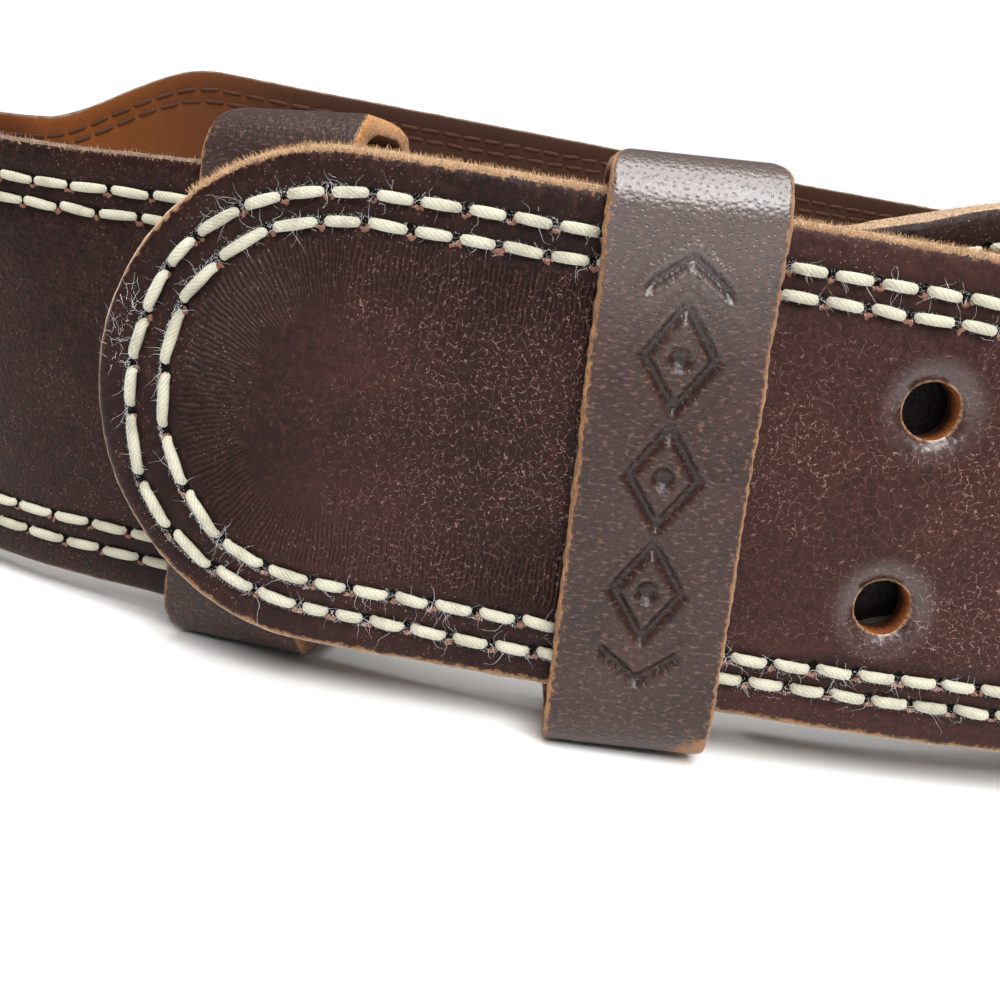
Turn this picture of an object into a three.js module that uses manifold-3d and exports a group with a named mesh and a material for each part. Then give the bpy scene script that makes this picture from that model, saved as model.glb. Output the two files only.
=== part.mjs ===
// A weightlifting belt, fastened and standing on its edge: one thick leather strap, wide across
// the back and narrow in front, two leather keepers and a double-pronged buckle.
// Millimetres, +Z up. The origin is the middle of the footprint, on the surface that it stands on.
// The front, with the rounded tip, faces -Y, and the tip points to -X.
import * as THREE from "three";
import { mergeVertices } from "three/addons/utils/BufferGeometryUtils.js";
import Module from "manifold-3d";

// driving dimensions

const strapSize = {
  front: 65, // width of the narrow ends
  back: 101.6, // width across the back
  thickness: 5.6,
  bevel: 1.5, // the trimmed corners of every edge
  folded: 3, // the end is pared to this where it folds round the hinge bar
  pareLength: 40,
  flapLength: 50, // what comes back from the fold on the inside
};

const shoulderSize = {
  leftStart: 466, // from the flap's end, along the strap, to where the strap starts to widen
  rightEnd: 905, // and to where it is narrow again
  length: 54,
};

const holeSize = {
  radius: 4.2,
  columns: 5,
  firstFromTip: 108,
  pitch: 25.4,
  rowHeights: [12.4, -14.1], // from the strap's middle line
};

const keeperSize = {
  thickness: 3,
  depth: 19.2, // outside, across the layers
  corner: 7.4, // outside radius of its folds
};

// Each keeper's place and turn about Z, its width along the strap, its height, its lean in its
// own plane and the slant of its upper and lower folds. Angles are in degrees.
const keepers = [
  { name: "keeper_front", x: -10.8, y: -146.3, turn: 0, width: 22, height: 78.4, lean: 3, slant: 0 },
  { name: "keeper_rear", x: -63.9, y: -131.8, turn: -16.7, width: 22.5, height: 77.2, lean: 0, slant: 4 },
];

const buckleSize = {
  hinge: { x: 59, y: -134.4, radius: 3.25 },
  farBar: { x: 94.6, y: -138.8, radius: 3.5 },
  middle: 44.8, // height of the frame's middle
  opening: 74.8, // between the rails
  rail: 6,
  prongRadius: 2.25,
  clearance: 0.6, // round each prong, in the leather
};

// The middle line of the strap's outer face on its way round, seen from above: body, left side,
// back, right side and tongue. middle is the height of the strap's middle line there.
const bodyRoute = [
  { x: 49, y: -142.8, middle: 48.9 },
  { x: 39, y: -144.1, middle: 48.4 },
  { x: 26, y: -145.2, middle: 46.6 },
  { x: 16, y: -145.6, middle: 43.2 },
  { x: 5, y: -146.1, middle: 40.6 },
  { x: -19, y: -146.3, middle: 39.2 },
  { x: -51, y: -141, middle: 38.4 },
  { x: -67, y: -136.6, middle: 37.4 },
  { x: -81, y: -132, middle: 36.8 },
  { x: -109, y: -122.2, middle: 36.1 },
  { x: -139, y: -103.2, middle: 37.2 },
  { x: -166, y: -75.2, middle: 39.6 },
  { x: -188, y: -39.2, middle: 41.4 },
  { x: -201, y: 0.8, middle: 43.2 },
  { x: -202, y: 33.8, middle: 44.8 },
  { x: -188.5, y: 58.8, middle: 46.8 },
  { x: -160, y: 74, middle: 50.8 },
];
const backRoute = [
  { x: -108, y: 88.4, middle: 50.8 },
  { x: -69, y: 100.2, middle: 50.8 },
  { x: -16, y: 117.4, middle: 50.8 },
  { x: 61, y: 141.6, middle: 50.8 },
  { x: 120, y: 154.8, middle: 50.8 },
  { x: 161, y: 152.8, middle: 50.8 },
  { x: 187, y: 132.8, middle: 50.8 },
];
const tongueRoute = [
  { x: 201, y: 96.8, middle: 49.6 },
  { x: 202, y: 49.8, middle: 48.3 },
  { x: 193, y: -2.2, middle: 46.9 },
  { x: 175, y: -51.2, middle: 45.5 },
  { x: 149, y: -92.7, middle: 44.1 },
  { x: 124, y: -117.7, middle: 42.8 },
  { x: 101, y: -131.9, middle: 41.7 },
  { x: 84, y: -138.8, middle: 41 },
  { x: 73, y: -143, middle: 40.6 },
  { x: 60, y: -146.8, middle: 40.2 },
  { x: 47, y: -149.3, middle: 40.2 },
  { x: 29, y: -151.2, middle: 40.2 },
  { x: 9, y: -152.1, middle: 40.4 },
  { x: -25, y: -152.5, middle: 40.8 },
  { x: -56, y: -151.2, middle: 40.9 },
  { x: -86, y: -147.5, middle: 40.9 },
];

const leather = new THREE.MeshStandardMaterial({ color: "#3b2726", roughness: 0.55 });
const keeperLeather = new THREE.MeshStandardMaterial({ color: "#46342f", roughness: 0.45 });
const nickel = new THREE.MeshStandardMaterial({ color: "#c9c7c0", roughness: 0.3, metalness: 1 });

// solids

const wasm = await Module();
wasm.setup();

function solidFrom(geometry) {
  const bare = geometry.clone();
  bare.deleteAttribute("normal");
  bare.deleteAttribute("uv");
  const merged = mergeVertices(bare, 1e-4);
  return new wasm.Manifold(
    new wasm.Mesh({
      numProp: 3,
      vertProperties: merged.attributes.position.array,
      triVerts: new Uint32Array(merged.index.array),
    }),
  );
}

function meshFrom(name, solid, material) {
  const { vertProperties, triVerts } = solid.getMesh();
  const geometry = new THREE.BufferGeometry();
  geometry.setAttribute("position", new THREE.BufferAttribute(vertProperties, 3));
  geometry.setIndex(new THREE.BufferAttribute(triVerts, 1));
  geometry.computeVertexNormals();
  const mesh = new THREE.Mesh(geometry, material);
  mesh.name = name;
  return mesh;
}

// the strap's route and section

// The fold round the hinge bar, with the flap in front of it, as points of the outer face.
function foldRoute() {
  const { hinge } = buckleSize;
  const radius = hinge.radius + 0.35 + strapSize.folded;
  const flap = [
    { x: hinge.x - strapSize.flapLength, y: hinge.y - 2.2, middle: 41.3 },
    { x: hinge.x - 40, y: hinge.y - 1.9, middle: 44.6 },
    { x: hinge.x - 30, y: hinge.y - 1.1, middle: 47.4 },
    { x: hinge.x - 18, y: hinge.y + 1.6, middle: 48.7 },
    { x: hinge.x - 8, y: hinge.y + 5.3, middle: 49 },
  ];
  const arc = [];
  for (let step = 0; step <= 8; step++) {
    const angle = THREE.MathUtils.degToRad(85 - step * 20.5);
    arc.push({
      x: hinge.x + radius * Math.cos(angle),
      y: hinge.y + radius * Math.sin(angle),
      middle: 49,
    });
  }
  return [...flap, ...arc];
}

const route = new THREE.CatmullRomCurve3(
  [...foldRoute(), ...bodyRoute, ...backRoute, ...tongueRoute].map(
    ({ x, y, middle }) => new THREE.Vector3(x, y, middle),
  ),
  false,
  "centripetal",
);
route.arcLengthDivisions = 6000;
const routeLength = route.getLength();

function smooth(value) {
  const t = THREE.MathUtils.clamp(value, 0, 1);
  return t * t * (3 - 2 * t);
}

// The strap's width at a distance along it: rounded at the tip, with an S-shaped shoulder
// each side of the back.
function widthAt(distance) {
  const { front, back } = strapSize;
  const { leftStart, rightEnd, length } = shoulderSize;
  const rise = smooth((distance - leftStart) / length);
  const fall = smooth((rightEnd - distance) / length);
  const width = front + (back - front) * rise * fall;
  const radius = width / 2;
  const fromTip = routeLength - distance;
  if (fromTip >= radius) return width;
  return 2 * Math.sqrt(radius ** 2 - (radius - fromTip) ** 2);
}

function thicknessAt(distance) {
  const { thickness, folded, flapLength, pareLength } = strapSize;
  const past = (distance - flapLength - 22) / pareLength;
  return folded + (thickness - folded) * smooth(past);
}

// A frame on the strap's outer face: its place and the directions outward and up. The strap
// never reaches below the surface.
function frameAt(distance) {
  const share = THREE.MathUtils.clamp(distance / routeLength, 0, 1);
  const place = route.getPointAt(share);
  place.z = Math.max(place.z, widthAt(distance) / 2);
  const along = route.getTangentAt(share).setZ(0).normalize();
  const out = new THREE.Vector3(-along.y, along.x, 0);
  return { place, out, up: new THREE.Vector3(0, 0, 1) };
}

// The section's eight corners, as depth below the outer face and height from the middle line.
function sectionAt(distance) {
  const half = widthAt(distance) / 2;
  const thickness = thicknessAt(distance);
  const bevel = Math.min(strapSize.bevel, thickness / 3, half / 2);
  return [
    [0, half - bevel],
    [bevel, half],
    [thickness - bevel, half],
    [thickness, half - bevel],
    [thickness, bevel - half],
    [thickness - bevel, -half],
    [bevel, -half],
    [0, bevel - half],
  ];
}

// Distances of the sections: close together in the fold and towards the tip.
function sectionDistances() {
  const distances = [];
  const foldStart = strapSize.flapLength - 12;
  const foldEnd = strapSize.flapLength + 32;
  const tipStart = routeLength - strapSize.front / 2;
  for (let d = 0; d < foldStart; d += 6.4) distances.push(d);
  for (let d = foldStart; d < foldEnd; d += 2.2) distances.push(d);
  const middleSteps = Math.round((tipStart - foldEnd) / 7);
  for (let i = 0; i < middleSteps; i++) {
    distances.push(foldEnd + ((tipStart - foldEnd) * i) / middleSteps);
  }
  const tipSteps = 10;
  for (let i = 0; i < tipSteps; i++) {
    const angle = (i / tipSteps) * (Math.PI / 2);
    distances.push(tipStart + (strapSize.front / 2) * Math.sin(angle));
  }
  distances.push(routeLength - 0.1);
  return distances;
}

function strapBlank() {
  const positions = [];
  const index = [];
  const distances = sectionDistances();
  for (const distance of distances) {
    const { place, out, up } = frameAt(distance);
    for (const [depth, height] of sectionAt(distance)) {
      const corner = place.clone().addScaledVector(out, -depth).addScaledVector(up, height);
      positions.push(corner.x, corner.y, corner.z);
    }
  }
  const corners = 8;
  for (let s = 0; s < distances.length - 1; s++) {
    for (let c = 0; c < corners; c++) {
      const a = s * corners + c;
      const b = s * corners + ((c + 1) % corners);
      index.push(a, b, a + corners, b, b + corners, a + corners);
    }
  }
  const last = (distances.length - 1) * corners;
  for (let c = 1; c < corners - 1; c++) {
    index.push(0, c + 1, c);
    index.push(last, last + c, last + c + 1);
  }
  const geometry = new THREE.BufferGeometry();
  geometry.setAttribute("position", new THREE.Float32BufferAttribute(positions, 3));
  geometry.setIndex(index);
  return geometry;
}

// A round bar through the strap at a distance from the tip and a height from the middle line.
function holeCutter(fromTip, height) {
  const { place, out } = frameAt(routeLength - fromTip);
  const cutter = new THREE.CylinderGeometry(holeSize.radius, holeSize.radius, 16, 24);
  const turn = new THREE.Quaternion().setFromUnitVectors(new THREE.Vector3(0, 1, 0), out);
  cutter.applyQuaternion(turn);
  cutter.translate(place.x - out.x * 3, place.y - out.y * 3, place.z + height);
  return solidFrom(cutter);
}

// the buckle

// A prong's middle line: from the hinge bar, out through the tongue and over the far bar.
function prongLine(height) {
  const { hinge, farBar } = buckleSize;
  return new THREE.CatmullRomCurve3(
    [
      new THREE.Vector3(hinge.x, hinge.y, height),
      new THREE.Vector3(hinge.x + 6.5, hinge.y + 0.8, height),
      new THREE.Vector3(hinge.x + 11.5, hinge.y - 1.8, height),
      new THREE.Vector3(hinge.x + 17, hinge.y - 6.4, height),
      new THREE.Vector3(hinge.x + 23, hinge.y - 9.2, height),
      new THREE.Vector3(farBar.x - 5, farBar.y - 6.8, height),
      new THREE.Vector3(farBar.x + 1, farBar.y - 6, height),
      new THREE.Vector3(farBar.x + 5, farBar.y - 4.8, height),
    ],
    false,
    "centripetal",
  );
}

function roundAlong(line, radius) {
  const section = new THREE.Shape().absarc(0, 0, radius, 0, 2 * Math.PI);
  return solidFrom(
    new THREE.ExtrudeGeometry(section, { steps: 16, curveSegments: 6, extrudePath: line }),
  );
}

function prongHeights() {
  const { middle } = tongueRoute[8];
  return holeSize.rowHeights.map((row) => middle + row);
}

function barSolid({ x, y, radius }) {
  const { middle, opening } = buckleSize;
  const bar = new THREE.CylinderGeometry(radius, radius, opening + 2, 20);
  bar.rotateX(Math.PI / 2);
  bar.translate(x, y, middle);
  return solidFrom(bar);
}

// One rail of the frame: a flat bar with round ends, from the hinge bar to the far bar.
function railSolid(side) {
  const { hinge, farBar, middle, opening, rail } = buckleSize;
  const reach = Math.hypot(farBar.x - hinge.x, farBar.y - hinge.y);
  const slant = Math.atan2(farBar.y - hinge.y, farBar.x - hinge.x);
  const outline = new THREE.Shape();
  const radius = farBar.radius + 0.6;
  outline.absarc(reach, 0, radius, -Math.PI / 2, Math.PI / 2);
  outline.absarc(0, 0, radius, Math.PI / 2, (3 * Math.PI) / 2);
  const bar = new THREE.ExtrudeGeometry(outline, {
    depth: rail - 1.6,
    curveSegments: 10,
    bevelThickness: 0.8,
    bevelSize: 0.8,
    bevelOffset: -0.8,
    bevelSegments: 2,
  });
  bar.translate(0, 0, 0.8);
  if (side < 0) bar.translate(0, 0, -rail);
  bar.rotateZ(slant);
  bar.translate(hinge.x, hinge.y, middle + (side * opening) / 2);
  return solidFrom(bar);
}

function buckle() {
  let solid = barSolid(buckleSize.hinge).add(barSolid(buckleSize.farBar));
  for (const side of [1, -1]) solid = solid.add(railSolid(side));
  for (const height of prongHeights()) {
    solid = solid.add(roundAlong(prongLine(height), buckleSize.prongRadius));
  }
  return meshFrom("buckle", solid, nickel);
}

// the strap, cut by its holes and by the way of the prongs

function strap() {
  let solid = solidFrom(strapBlank());
  for (let column = 0; column < holeSize.columns; column++) {
    for (const height of holeSize.rowHeights) {
      const fromTip = holeSize.firstFromTip + column * holeSize.pitch;
      solid = solid.subtract(holeCutter(fromTip, height));
    }
  }
  for (const height of prongHeights()) {
    const radius = buckleSize.prongRadius + buckleSize.clearance;
    solid = solid.subtract(roundAlong(prongLine(height), radius));
  }
  return meshFrom("strap", solid, leather);
}

// the keepers: closed loops of leather with round ends

function loopOutline(depth, height, radius) {
  const x = depth / 2 - radius;
  const y = height / 2 - radius;
  const outline = new THREE.Shape();
  outline.absarc(x, y, radius, 0, Math.PI / 2);
  outline.absarc(-x, y, radius, Math.PI / 2, Math.PI);
  outline.absarc(-x, -y, radius, Math.PI, 1.5 * Math.PI);
  outline.absarc(x, -y, radius, 1.5 * Math.PI, 2 * Math.PI);
  return outline;
}

function keeper({ name, x, y, turn, width, height, lean, slant }) {
  const { thickness, depth, corner } = keeperSize;
  const outline = loopOutline(depth, height, corner);
  const hollow = loopOutline(depth - 2 * thickness, height - 2 * thickness, corner - thickness);
  outline.holes.push(hollow);
  const geometry = new THREE.ExtrudeGeometry(outline, {
    depth: width,
    curveSegments: 6,
    bevelEnabled: false,
  });
  geometry.translate(0, 0, -width / 2);
  geometry.rotateX(Math.PI / 2); // the outline's height now runs along Z
  geometry.rotateZ(Math.PI / 2); // and its depth along Y, with its width along X
  const rise = Math.tan(THREE.MathUtils.degToRad(slant)); // of the folds, along the width
  geometry.applyMatrix4(new THREE.Matrix4().makeShear(0, rise, 0, 0, 0, 0));
  geometry.rotateY(THREE.MathUtils.degToRad(-lean));
  geometry.rotateZ(THREE.MathUtils.degToRad(turn));
  geometry.computeBoundingBox();
  geometry.translate(x, y, -geometry.boundingBox.min.z);
  return meshFrom(name, solidFrom(geometry), keeperLeather);
}

const belt = new THREE.Group();
belt.add(strap(), buckle());
for (const each of keepers) belt.add(keeper(each));

export default belt;
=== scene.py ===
# A fastened weightlifting belt standing on its edge: a thick strap sewn with two rows of
# waxed thread, two leather keepers and a double-pronged buckle. Shapes are in millimetres
# until they are put in place, and the finished pieces are in metres.
import math

import bpy
import numpy as np
from mathutils import Matrix, Vector, noise


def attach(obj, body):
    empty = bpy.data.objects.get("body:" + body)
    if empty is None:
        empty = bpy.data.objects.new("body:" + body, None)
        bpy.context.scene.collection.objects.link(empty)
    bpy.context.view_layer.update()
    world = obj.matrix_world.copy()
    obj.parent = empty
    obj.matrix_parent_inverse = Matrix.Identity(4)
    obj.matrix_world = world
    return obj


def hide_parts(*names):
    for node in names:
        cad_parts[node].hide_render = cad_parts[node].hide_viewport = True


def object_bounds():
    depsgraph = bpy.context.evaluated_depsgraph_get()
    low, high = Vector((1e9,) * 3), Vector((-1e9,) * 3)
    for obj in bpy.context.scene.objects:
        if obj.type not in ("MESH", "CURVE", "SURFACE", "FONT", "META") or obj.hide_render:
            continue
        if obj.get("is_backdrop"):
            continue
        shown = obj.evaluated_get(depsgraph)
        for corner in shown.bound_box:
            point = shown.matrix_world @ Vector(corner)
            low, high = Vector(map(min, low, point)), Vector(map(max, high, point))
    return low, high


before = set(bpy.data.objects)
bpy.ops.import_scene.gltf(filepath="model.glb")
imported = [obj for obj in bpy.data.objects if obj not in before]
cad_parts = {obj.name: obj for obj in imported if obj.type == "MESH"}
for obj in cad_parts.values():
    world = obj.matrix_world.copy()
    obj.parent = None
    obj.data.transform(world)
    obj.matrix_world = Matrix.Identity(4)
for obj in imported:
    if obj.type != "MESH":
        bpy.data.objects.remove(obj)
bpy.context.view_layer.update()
seeded = np.random.default_rng(8287)
mm = 0.001


# Small helpers

def deselectAll():
    bpy.ops.object.select_all(action="DESELECT")


def makeActive(piece):
    deselectAll()
    piece.select_set(True)
    bpy.context.view_layer.objects.active = piece


def applyModifier(piece, kind, **settings):
    makeActive(piece)
    modifier = piece.modifiers.new(kind.title(), kind)
    for name, value in settings.items():
        setattr(modifier, name, value)
    bpy.ops.object.modifier_apply(modifier=modifier.name)


def vertexPlaces(piece):
    places = np.zeros(len(piece.data.vertices) * 3, dtype=np.float32)
    piece.data.vertices.foreach_get("co", places)
    return places.reshape(-1, 3).astype(float)


def moveVertices(piece, places):
    piece.data.vertices.foreach_set("co", np.asarray(places, dtype=np.float32).ravel())
    piece.data.update()


def faceCentres(piece):
    centres = np.zeros(len(piece.data.polygons) * 3, dtype=np.float32)
    piece.data.polygons.foreach_get("center", centres)
    return centres.reshape(-1, 3).astype(float)


def deleteFaces(piece, chosen):
    makeActive(piece)
    bpy.ops.object.mode_set(mode="EDIT")
    bpy.ops.mesh.select_mode(type="FACE")
    bpy.ops.mesh.select_all(action="DESELECT")
    bpy.ops.object.mode_set(mode="OBJECT")
    piece.data.polygons.foreach_set("select", chosen)
    bpy.ops.object.mode_set(mode="EDIT")
    bpy.ops.mesh.delete(type="FACE")
    bpy.ops.object.mode_set(mode="OBJECT")


def bisectAll(piece, cuts):
    # cuts: pairs of a point on the plane and its normal
    makeActive(piece)
    bpy.ops.object.mode_set(mode="EDIT")
    for point, normal in cuts:
        bpy.ops.mesh.select_all(action="SELECT")
        bpy.ops.mesh.bisect(plane_co=point, plane_no=normal, threshold=1e-5)
    bpy.ops.object.mode_set(mode="OBJECT")


def flipNormals(piece):
    makeActive(piece)
    bpy.ops.object.mode_set(mode="EDIT")
    bpy.ops.mesh.select_all(action="SELECT")
    bpy.ops.mesh.flip_normals()
    bpy.ops.object.mode_set(mode="OBJECT")


def pointAttribute(piece, name, values):
    attribute = piece.data.attributes.new(name, "FLOAT", "POINT")
    attribute.data.foreach_set("value", np.asarray(values, dtype=np.float32))


def shadeSmooth(piece, angle=50):
    makeActive(piece)
    bpy.ops.object.shade_smooth_by_angle(angle=math.radians(angle))


def pieceFromArrays(name, points, *faceArrays):
    # points in metres, and arrays of faces: triangles in one, quads in another
    faces = [face for faces in faceArrays for face in faces.tolist()]
    mesh = bpy.data.meshes.new(name)
    mesh.from_pydata(points.tolist(), [], faces)
    mesh.update()
    piece = bpy.data.objects.new(name, mesh)
    bpy.context.scene.collection.objects.link(piece)
    return piece


def smooth(value):
    t = np.clip(value, 0.0, 1.0)
    return t * t * (3 - 2 * t)


def bumpyAt(points, size):
    # smooth noise in about -1..1 at points in mm, with features of that size
    return np.array([noise.noise(Vector(point / size)) for point in points])


# The route of the strap, as in the CAD: the middle line of its outer face, seen from above,
# from the flap's end round the hinge bar and the waist to the tip. Each point is x, y and the
# height of the strap's middle line.

strapShape = {
    "front": 65.0,  # width of the belt in front
    "back": 101.6,  # and across the back
    "thickness": 5.6,
    "folded": 3.0,  # its thickness where it is pared for the fold
    "pareLength": 40.0,
    "flapLength": 50.0,
    "pastFold": 22.0,  # from the flap to where the full thickness begins to come back
    "widenStart": 466.0,  # mm along the strap, as its other places are
    "narrowEnd": 905.0,
    "shoulder": 54.0,
    "tongueStart": 1000.0,  # where the wear of the tongue begins
    "tipPart": 84.0,  # length of the tip's part, to under the front keeper
    "holesFromTip": [108 + 25.4 * column for column in range(5)],
    "holeRows": [12.4, -14.1],
}

buckleShape = {
    "hinge": (59.0, -134.4),
    "hingeRadius": 3.25,
    "foldGap": 0.35,  # between the bar and the leather that is folded round it
}

hingeX, hingeY = buckleShape["hinge"]
foldRadius = buckleShape["hingeRadius"] + buckleShape["foldGap"] + strapShape["folded"]
flapPoints = [
    (hingeX - 50, hingeY - 2.2, 41.3),
    (hingeX - 40, hingeY - 1.9, 44.6),
    (hingeX - 30, hingeY - 1.1, 47.4),
    (hingeX - 18, hingeY + 1.6, 48.7),
    (hingeX - 8, hingeY + 5.3, 49.0),
]
foldPoints = [
    (
        hingeX + foldRadius * math.cos(math.radians(85 - 20.5 * step)),
        hingeY + foldRadius * math.sin(math.radians(85 - 20.5 * step)),
        49.0,
    )
    for step in range(9)
]
bodyPoints = [
    (49, -142.8, 48.9), (39, -144.1, 48.4), (26, -145.2, 46.6), (16, -145.6, 43.2),
    (5, -146.1, 40.6), (-19, -146.3, 39.2), (-51, -141, 38.4), (-67, -136.6, 37.4),
    (-81, -132, 36.8), (-109, -122.2, 36.1), (-139, -103.2, 37.2), (-166, -75.2, 39.6),
    (-188, -39.2, 41.4), (-201, 0.8, 43.2), (-202, 33.8, 44.8), (-188.5, 58.8, 46.8),
    (-160, 74, 50.8),
]
backPoints = [
    (-108, 88.4, 50.8), (-69, 100.2, 50.8), (-16, 117.4, 50.8), (61, 141.6, 50.8),
    (120, 154.8, 50.8), (161, 152.8, 50.8), (187, 132.8, 50.8),
]
tonguePoints = [
    (201, 96.8, 49.6), (202, 49.8, 48.3), (193, -2.2, 46.9), (175, -51.2, 45.5),
    (149, -92.7, 44.1), (124, -117.7, 42.8), (101, -131.9, 41.7), (84, -138.8, 41),
    (73, -143, 40.6), (60, -146.8, 40.2), (47, -149.3, 40.2), (29, -151.2, 40.2),
    (9, -152.1, 40.4), (-25, -152.5, 40.8), (-56, -151.2, 40.9), (-86, -147.5, 40.9),
]


def smoothLine(points, perSpan=120):
    # a centripetal Catmull-Rom line through the points: its places and the distances along it
    knots = np.array(points, dtype=float)
    knots = np.vstack([2 * knots[0] - knots[1], knots, 2 * knots[-1] - knots[-2]])
    places = []
    for span in range(1, len(knots) - 2):
        p0, p1, p2, p3 = knots[span - 1:span + 3]
        d0 = math.sqrt(np.linalg.norm(p1 - p0))
        d1 = math.sqrt(np.linalg.norm(p2 - p1))
        d2 = math.sqrt(np.linalg.norm(p3 - p2))
        leave = ((p1 - p0) / d0 - (p2 - p0) / (d0 + d1) + (p2 - p1) / d1) * d1
        arrive = ((p2 - p1) / d1 - (p3 - p1) / (d1 + d2) + (p3 - p2) / d2) * d1
        t = np.linspace(0, 1, perSpan, endpoint=False)[:, None]
        bend = -3 * p1 + 3 * p2 - 2 * leave - arrive
        twist = 2 * p1 - 2 * p2 + leave + arrive
        places.append(p1 + leave * t + bend * t**2 + twist * t**3)
    places.append(knots[-2:-1])
    places = np.vstack(places)
    steps = np.linalg.norm(np.diff(places, axis=0), axis=1)
    return places, np.concatenate([[0], np.cumsum(steps)])


routePlaces, routeDistances = smoothLine(
    flapPoints + foldPoints + bodyPoints + backPoints + tonguePoints
)
routeLength = routeDistances[-1]
routeAlong = np.gradient(routePlaces[:, :2], axis=0)
routeAlong /= np.linalg.norm(routeAlong, axis=1)[:, None]
tipRadius = strapShape["front"] / 2
tipStart = routeLength - tipRadius
toTip = np.linalg.norm(routePlaces[routeDistances < 400] - routePlaces[-1], axis=1)
# the stretch of the body that the tongue hides
bodyUnder = (95.0, routeDistances[np.argmin(toTip)] - 30)


def widthAt(distance):
    rise = smooth((distance - strapShape["widenStart"]) / strapShape["shoulder"])
    fall = smooth((strapShape["narrowEnd"] - distance) / strapShape["shoulder"])
    return strapShape["front"] + (strapShape["back"] - strapShape["front"]) * rise * fall


def thicknessAt(distance):
    foldEnd = strapShape["flapLength"] + strapShape["pastFold"]
    past = (distance - foldEnd) / strapShape["pareLength"]
    full = strapShape["thickness"] - strapShape["folded"]
    return strapShape["folded"] + full * smooth(past)


def onStrap(distance, across, depth):
    # places in mm: distance along the strap, across from its middle line upwards, and depth
    # below its outer face
    x = np.interp(distance, routeDistances, routePlaces[:, 0])
    y = np.interp(distance, routeDistances, routePlaces[:, 1])
    middle = np.interp(distance, routeDistances, routePlaces[:, 2])
    middle = np.maximum(middle, widthAt(distance) / 2)
    alongX = np.interp(distance, routeDistances, routeAlong[:, 0])
    alongY = np.interp(distance, routeDistances, routeAlong[:, 1])
    return np.stack([x + alongY * depth, y - alongX * depth, middle + across], axis=-1)


# The two seams. Each row wanders a little, as it is guided by hand: its offset from the edge is
# given at some runs along the edge, counted from where the tip's curve starts.

seamShape = {
    "start": 86.0,  # distance along the strap where the seams start, past the fold
    "pitch": 5.7,
    "pitchMore": 1.5,  # added to the pitch on the body
    "tipStitch": 7.4,  # about what a stitch of the inner row takes round the tip
    "gap": 0.5,  # between one stitch and the next
    "grooveDepth": 0.3,
    "grooveWidth": 1.5,
}
seamRows = [
    {
        "offsets": [
            (-1200, 5.6), (-80, 5.8), (-40, 5.6), (-10, 5.3), (11, 5.6), (19, 5.2), (34, 5.0),
            (42, 5.4), (57, 5.0), (68, 3.9), (77, 3.9), (86, 4.9), (94, 5.4), (115, 5.1),
            (126, 4.6), (160, 5.6), (192, 5.8), (1400, 5.6),
        ],
        "tipGap": 1257.7,  # run along the row to the hole where the tip's longer stitches start
        "tipStitches": [5.7, 7.2, 5.6, 6.9, 6.6, 6.4, 9.2, 8.0, 7.7, 6.4, 6.3, 4.6, 4.7],
    },
    {
        "offsets": [
            (-1200, 9.1), (-60, 9.0), (-30, 9.15), (0, 8.8), (6, 9.2), (15, 8.9), (38, 9.15),
            (50, 9.6), (61, 9.4), (72, 9.2), (83, 8.6), (93, 8.9), (112, 9.0), (163, 8.5),
            (188, 9.4), (1400, 9.1),
        ],
        "tipGap": 1252.3,
        "tipStitches": [6.7, 8.1, 7.8, 8.6, 8.4, 8.0, 8.3, 7.0, 6.5, 5.3],
    },
]
tipArc = math.pi * tipRadius
edgeLength = 2 * tipStart + tipArc


def besideEdge(run, inset):
    # distance along the strap and height across it, for a run along its edge (upper edge,
    # round the tip, lower edge) and a distance inward from it
    angle = math.pi / 2 - np.clip((run - tipStart) / tipRadius, 0, math.pi)
    upper = run < tipStart
    lower = run > tipStart + tipArc
    straight = np.where(upper, run, edgeLength - run)
    half = widthAt(straight) / 2
    distance = np.where(upper | lower, straight, tipStart + (tipRadius - inset) * np.cos(angle))
    across = np.where(upper, half - inset, (tipRadius - inset) * np.sin(angle))
    across = np.where(lower, inset - half, across)
    return distance, across


def runBeside(distance, across):
    # the run along the edge of the place on it that is nearest
    angle = np.arctan2(across, np.maximum(distance - tipStart, 1e-9))
    inTip = tipStart + (math.pi / 2 - angle) * tipRadius
    straight = np.where(across >= 0, distance, edgeLength - distance)
    return np.where(distance > tipStart, inTip, straight)


def seamOffset(row, run):
    knots = np.array(seamRows[row]["offsets"])
    wander = 0.12 * np.sin(run / 17 + 3 * row) * smooth((np.abs(run - tipStart) - 150) / 50)
    return np.interp(run - tipStart, knots[:, 0], knots[:, 1]) + wander


def pitchAt(fromTip):
    # the stitches are longer on the body than on the tongue
    return seamShape["pitch"] + seamShape["pitchMore"] * smooth((fromTip - 400) / 200)


def seamHoles(row):
    # the runs along the edge at which the row's needle holes are
    run = np.linspace(seamShape["start"], edgeLength - seamShape["start"], 24000)
    line = np.stack(besideEdge(run, seamOffset(row, run)), axis=1)
    sewn = np.concatenate([[0], np.cumsum(np.linalg.norm(np.diff(line, axis=0), axis=1))])
    first = seamRows[row]["tipGap"]
    tip = first + np.concatenate([[0], np.cumsum(seamRows[row]["tipStitches"])])
    before = [first]
    while before[-1] > 0:
        before.append(before[-1] - pitchAt(first - before[-1]))
    after = [tip[-1]]
    while after[-1] < sewn[-1]:
        after.append(after[-1] + pitchAt(after[-1] - tip[-1]))
    uneven = seeded.normal(0, 0.12, len(before)), seeded.normal(0, 0.12, len(after))
    before = (np.array(before) + uneven[0])[1:-1][::-1]
    after = (np.array(after) + uneven[1])[1:-1]
    return np.interp(np.concatenate([before, tip, after]), sewn, run)


seamHoleRuns = [seamHoles(row) for row in (0, 1)]


# Materials

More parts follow.
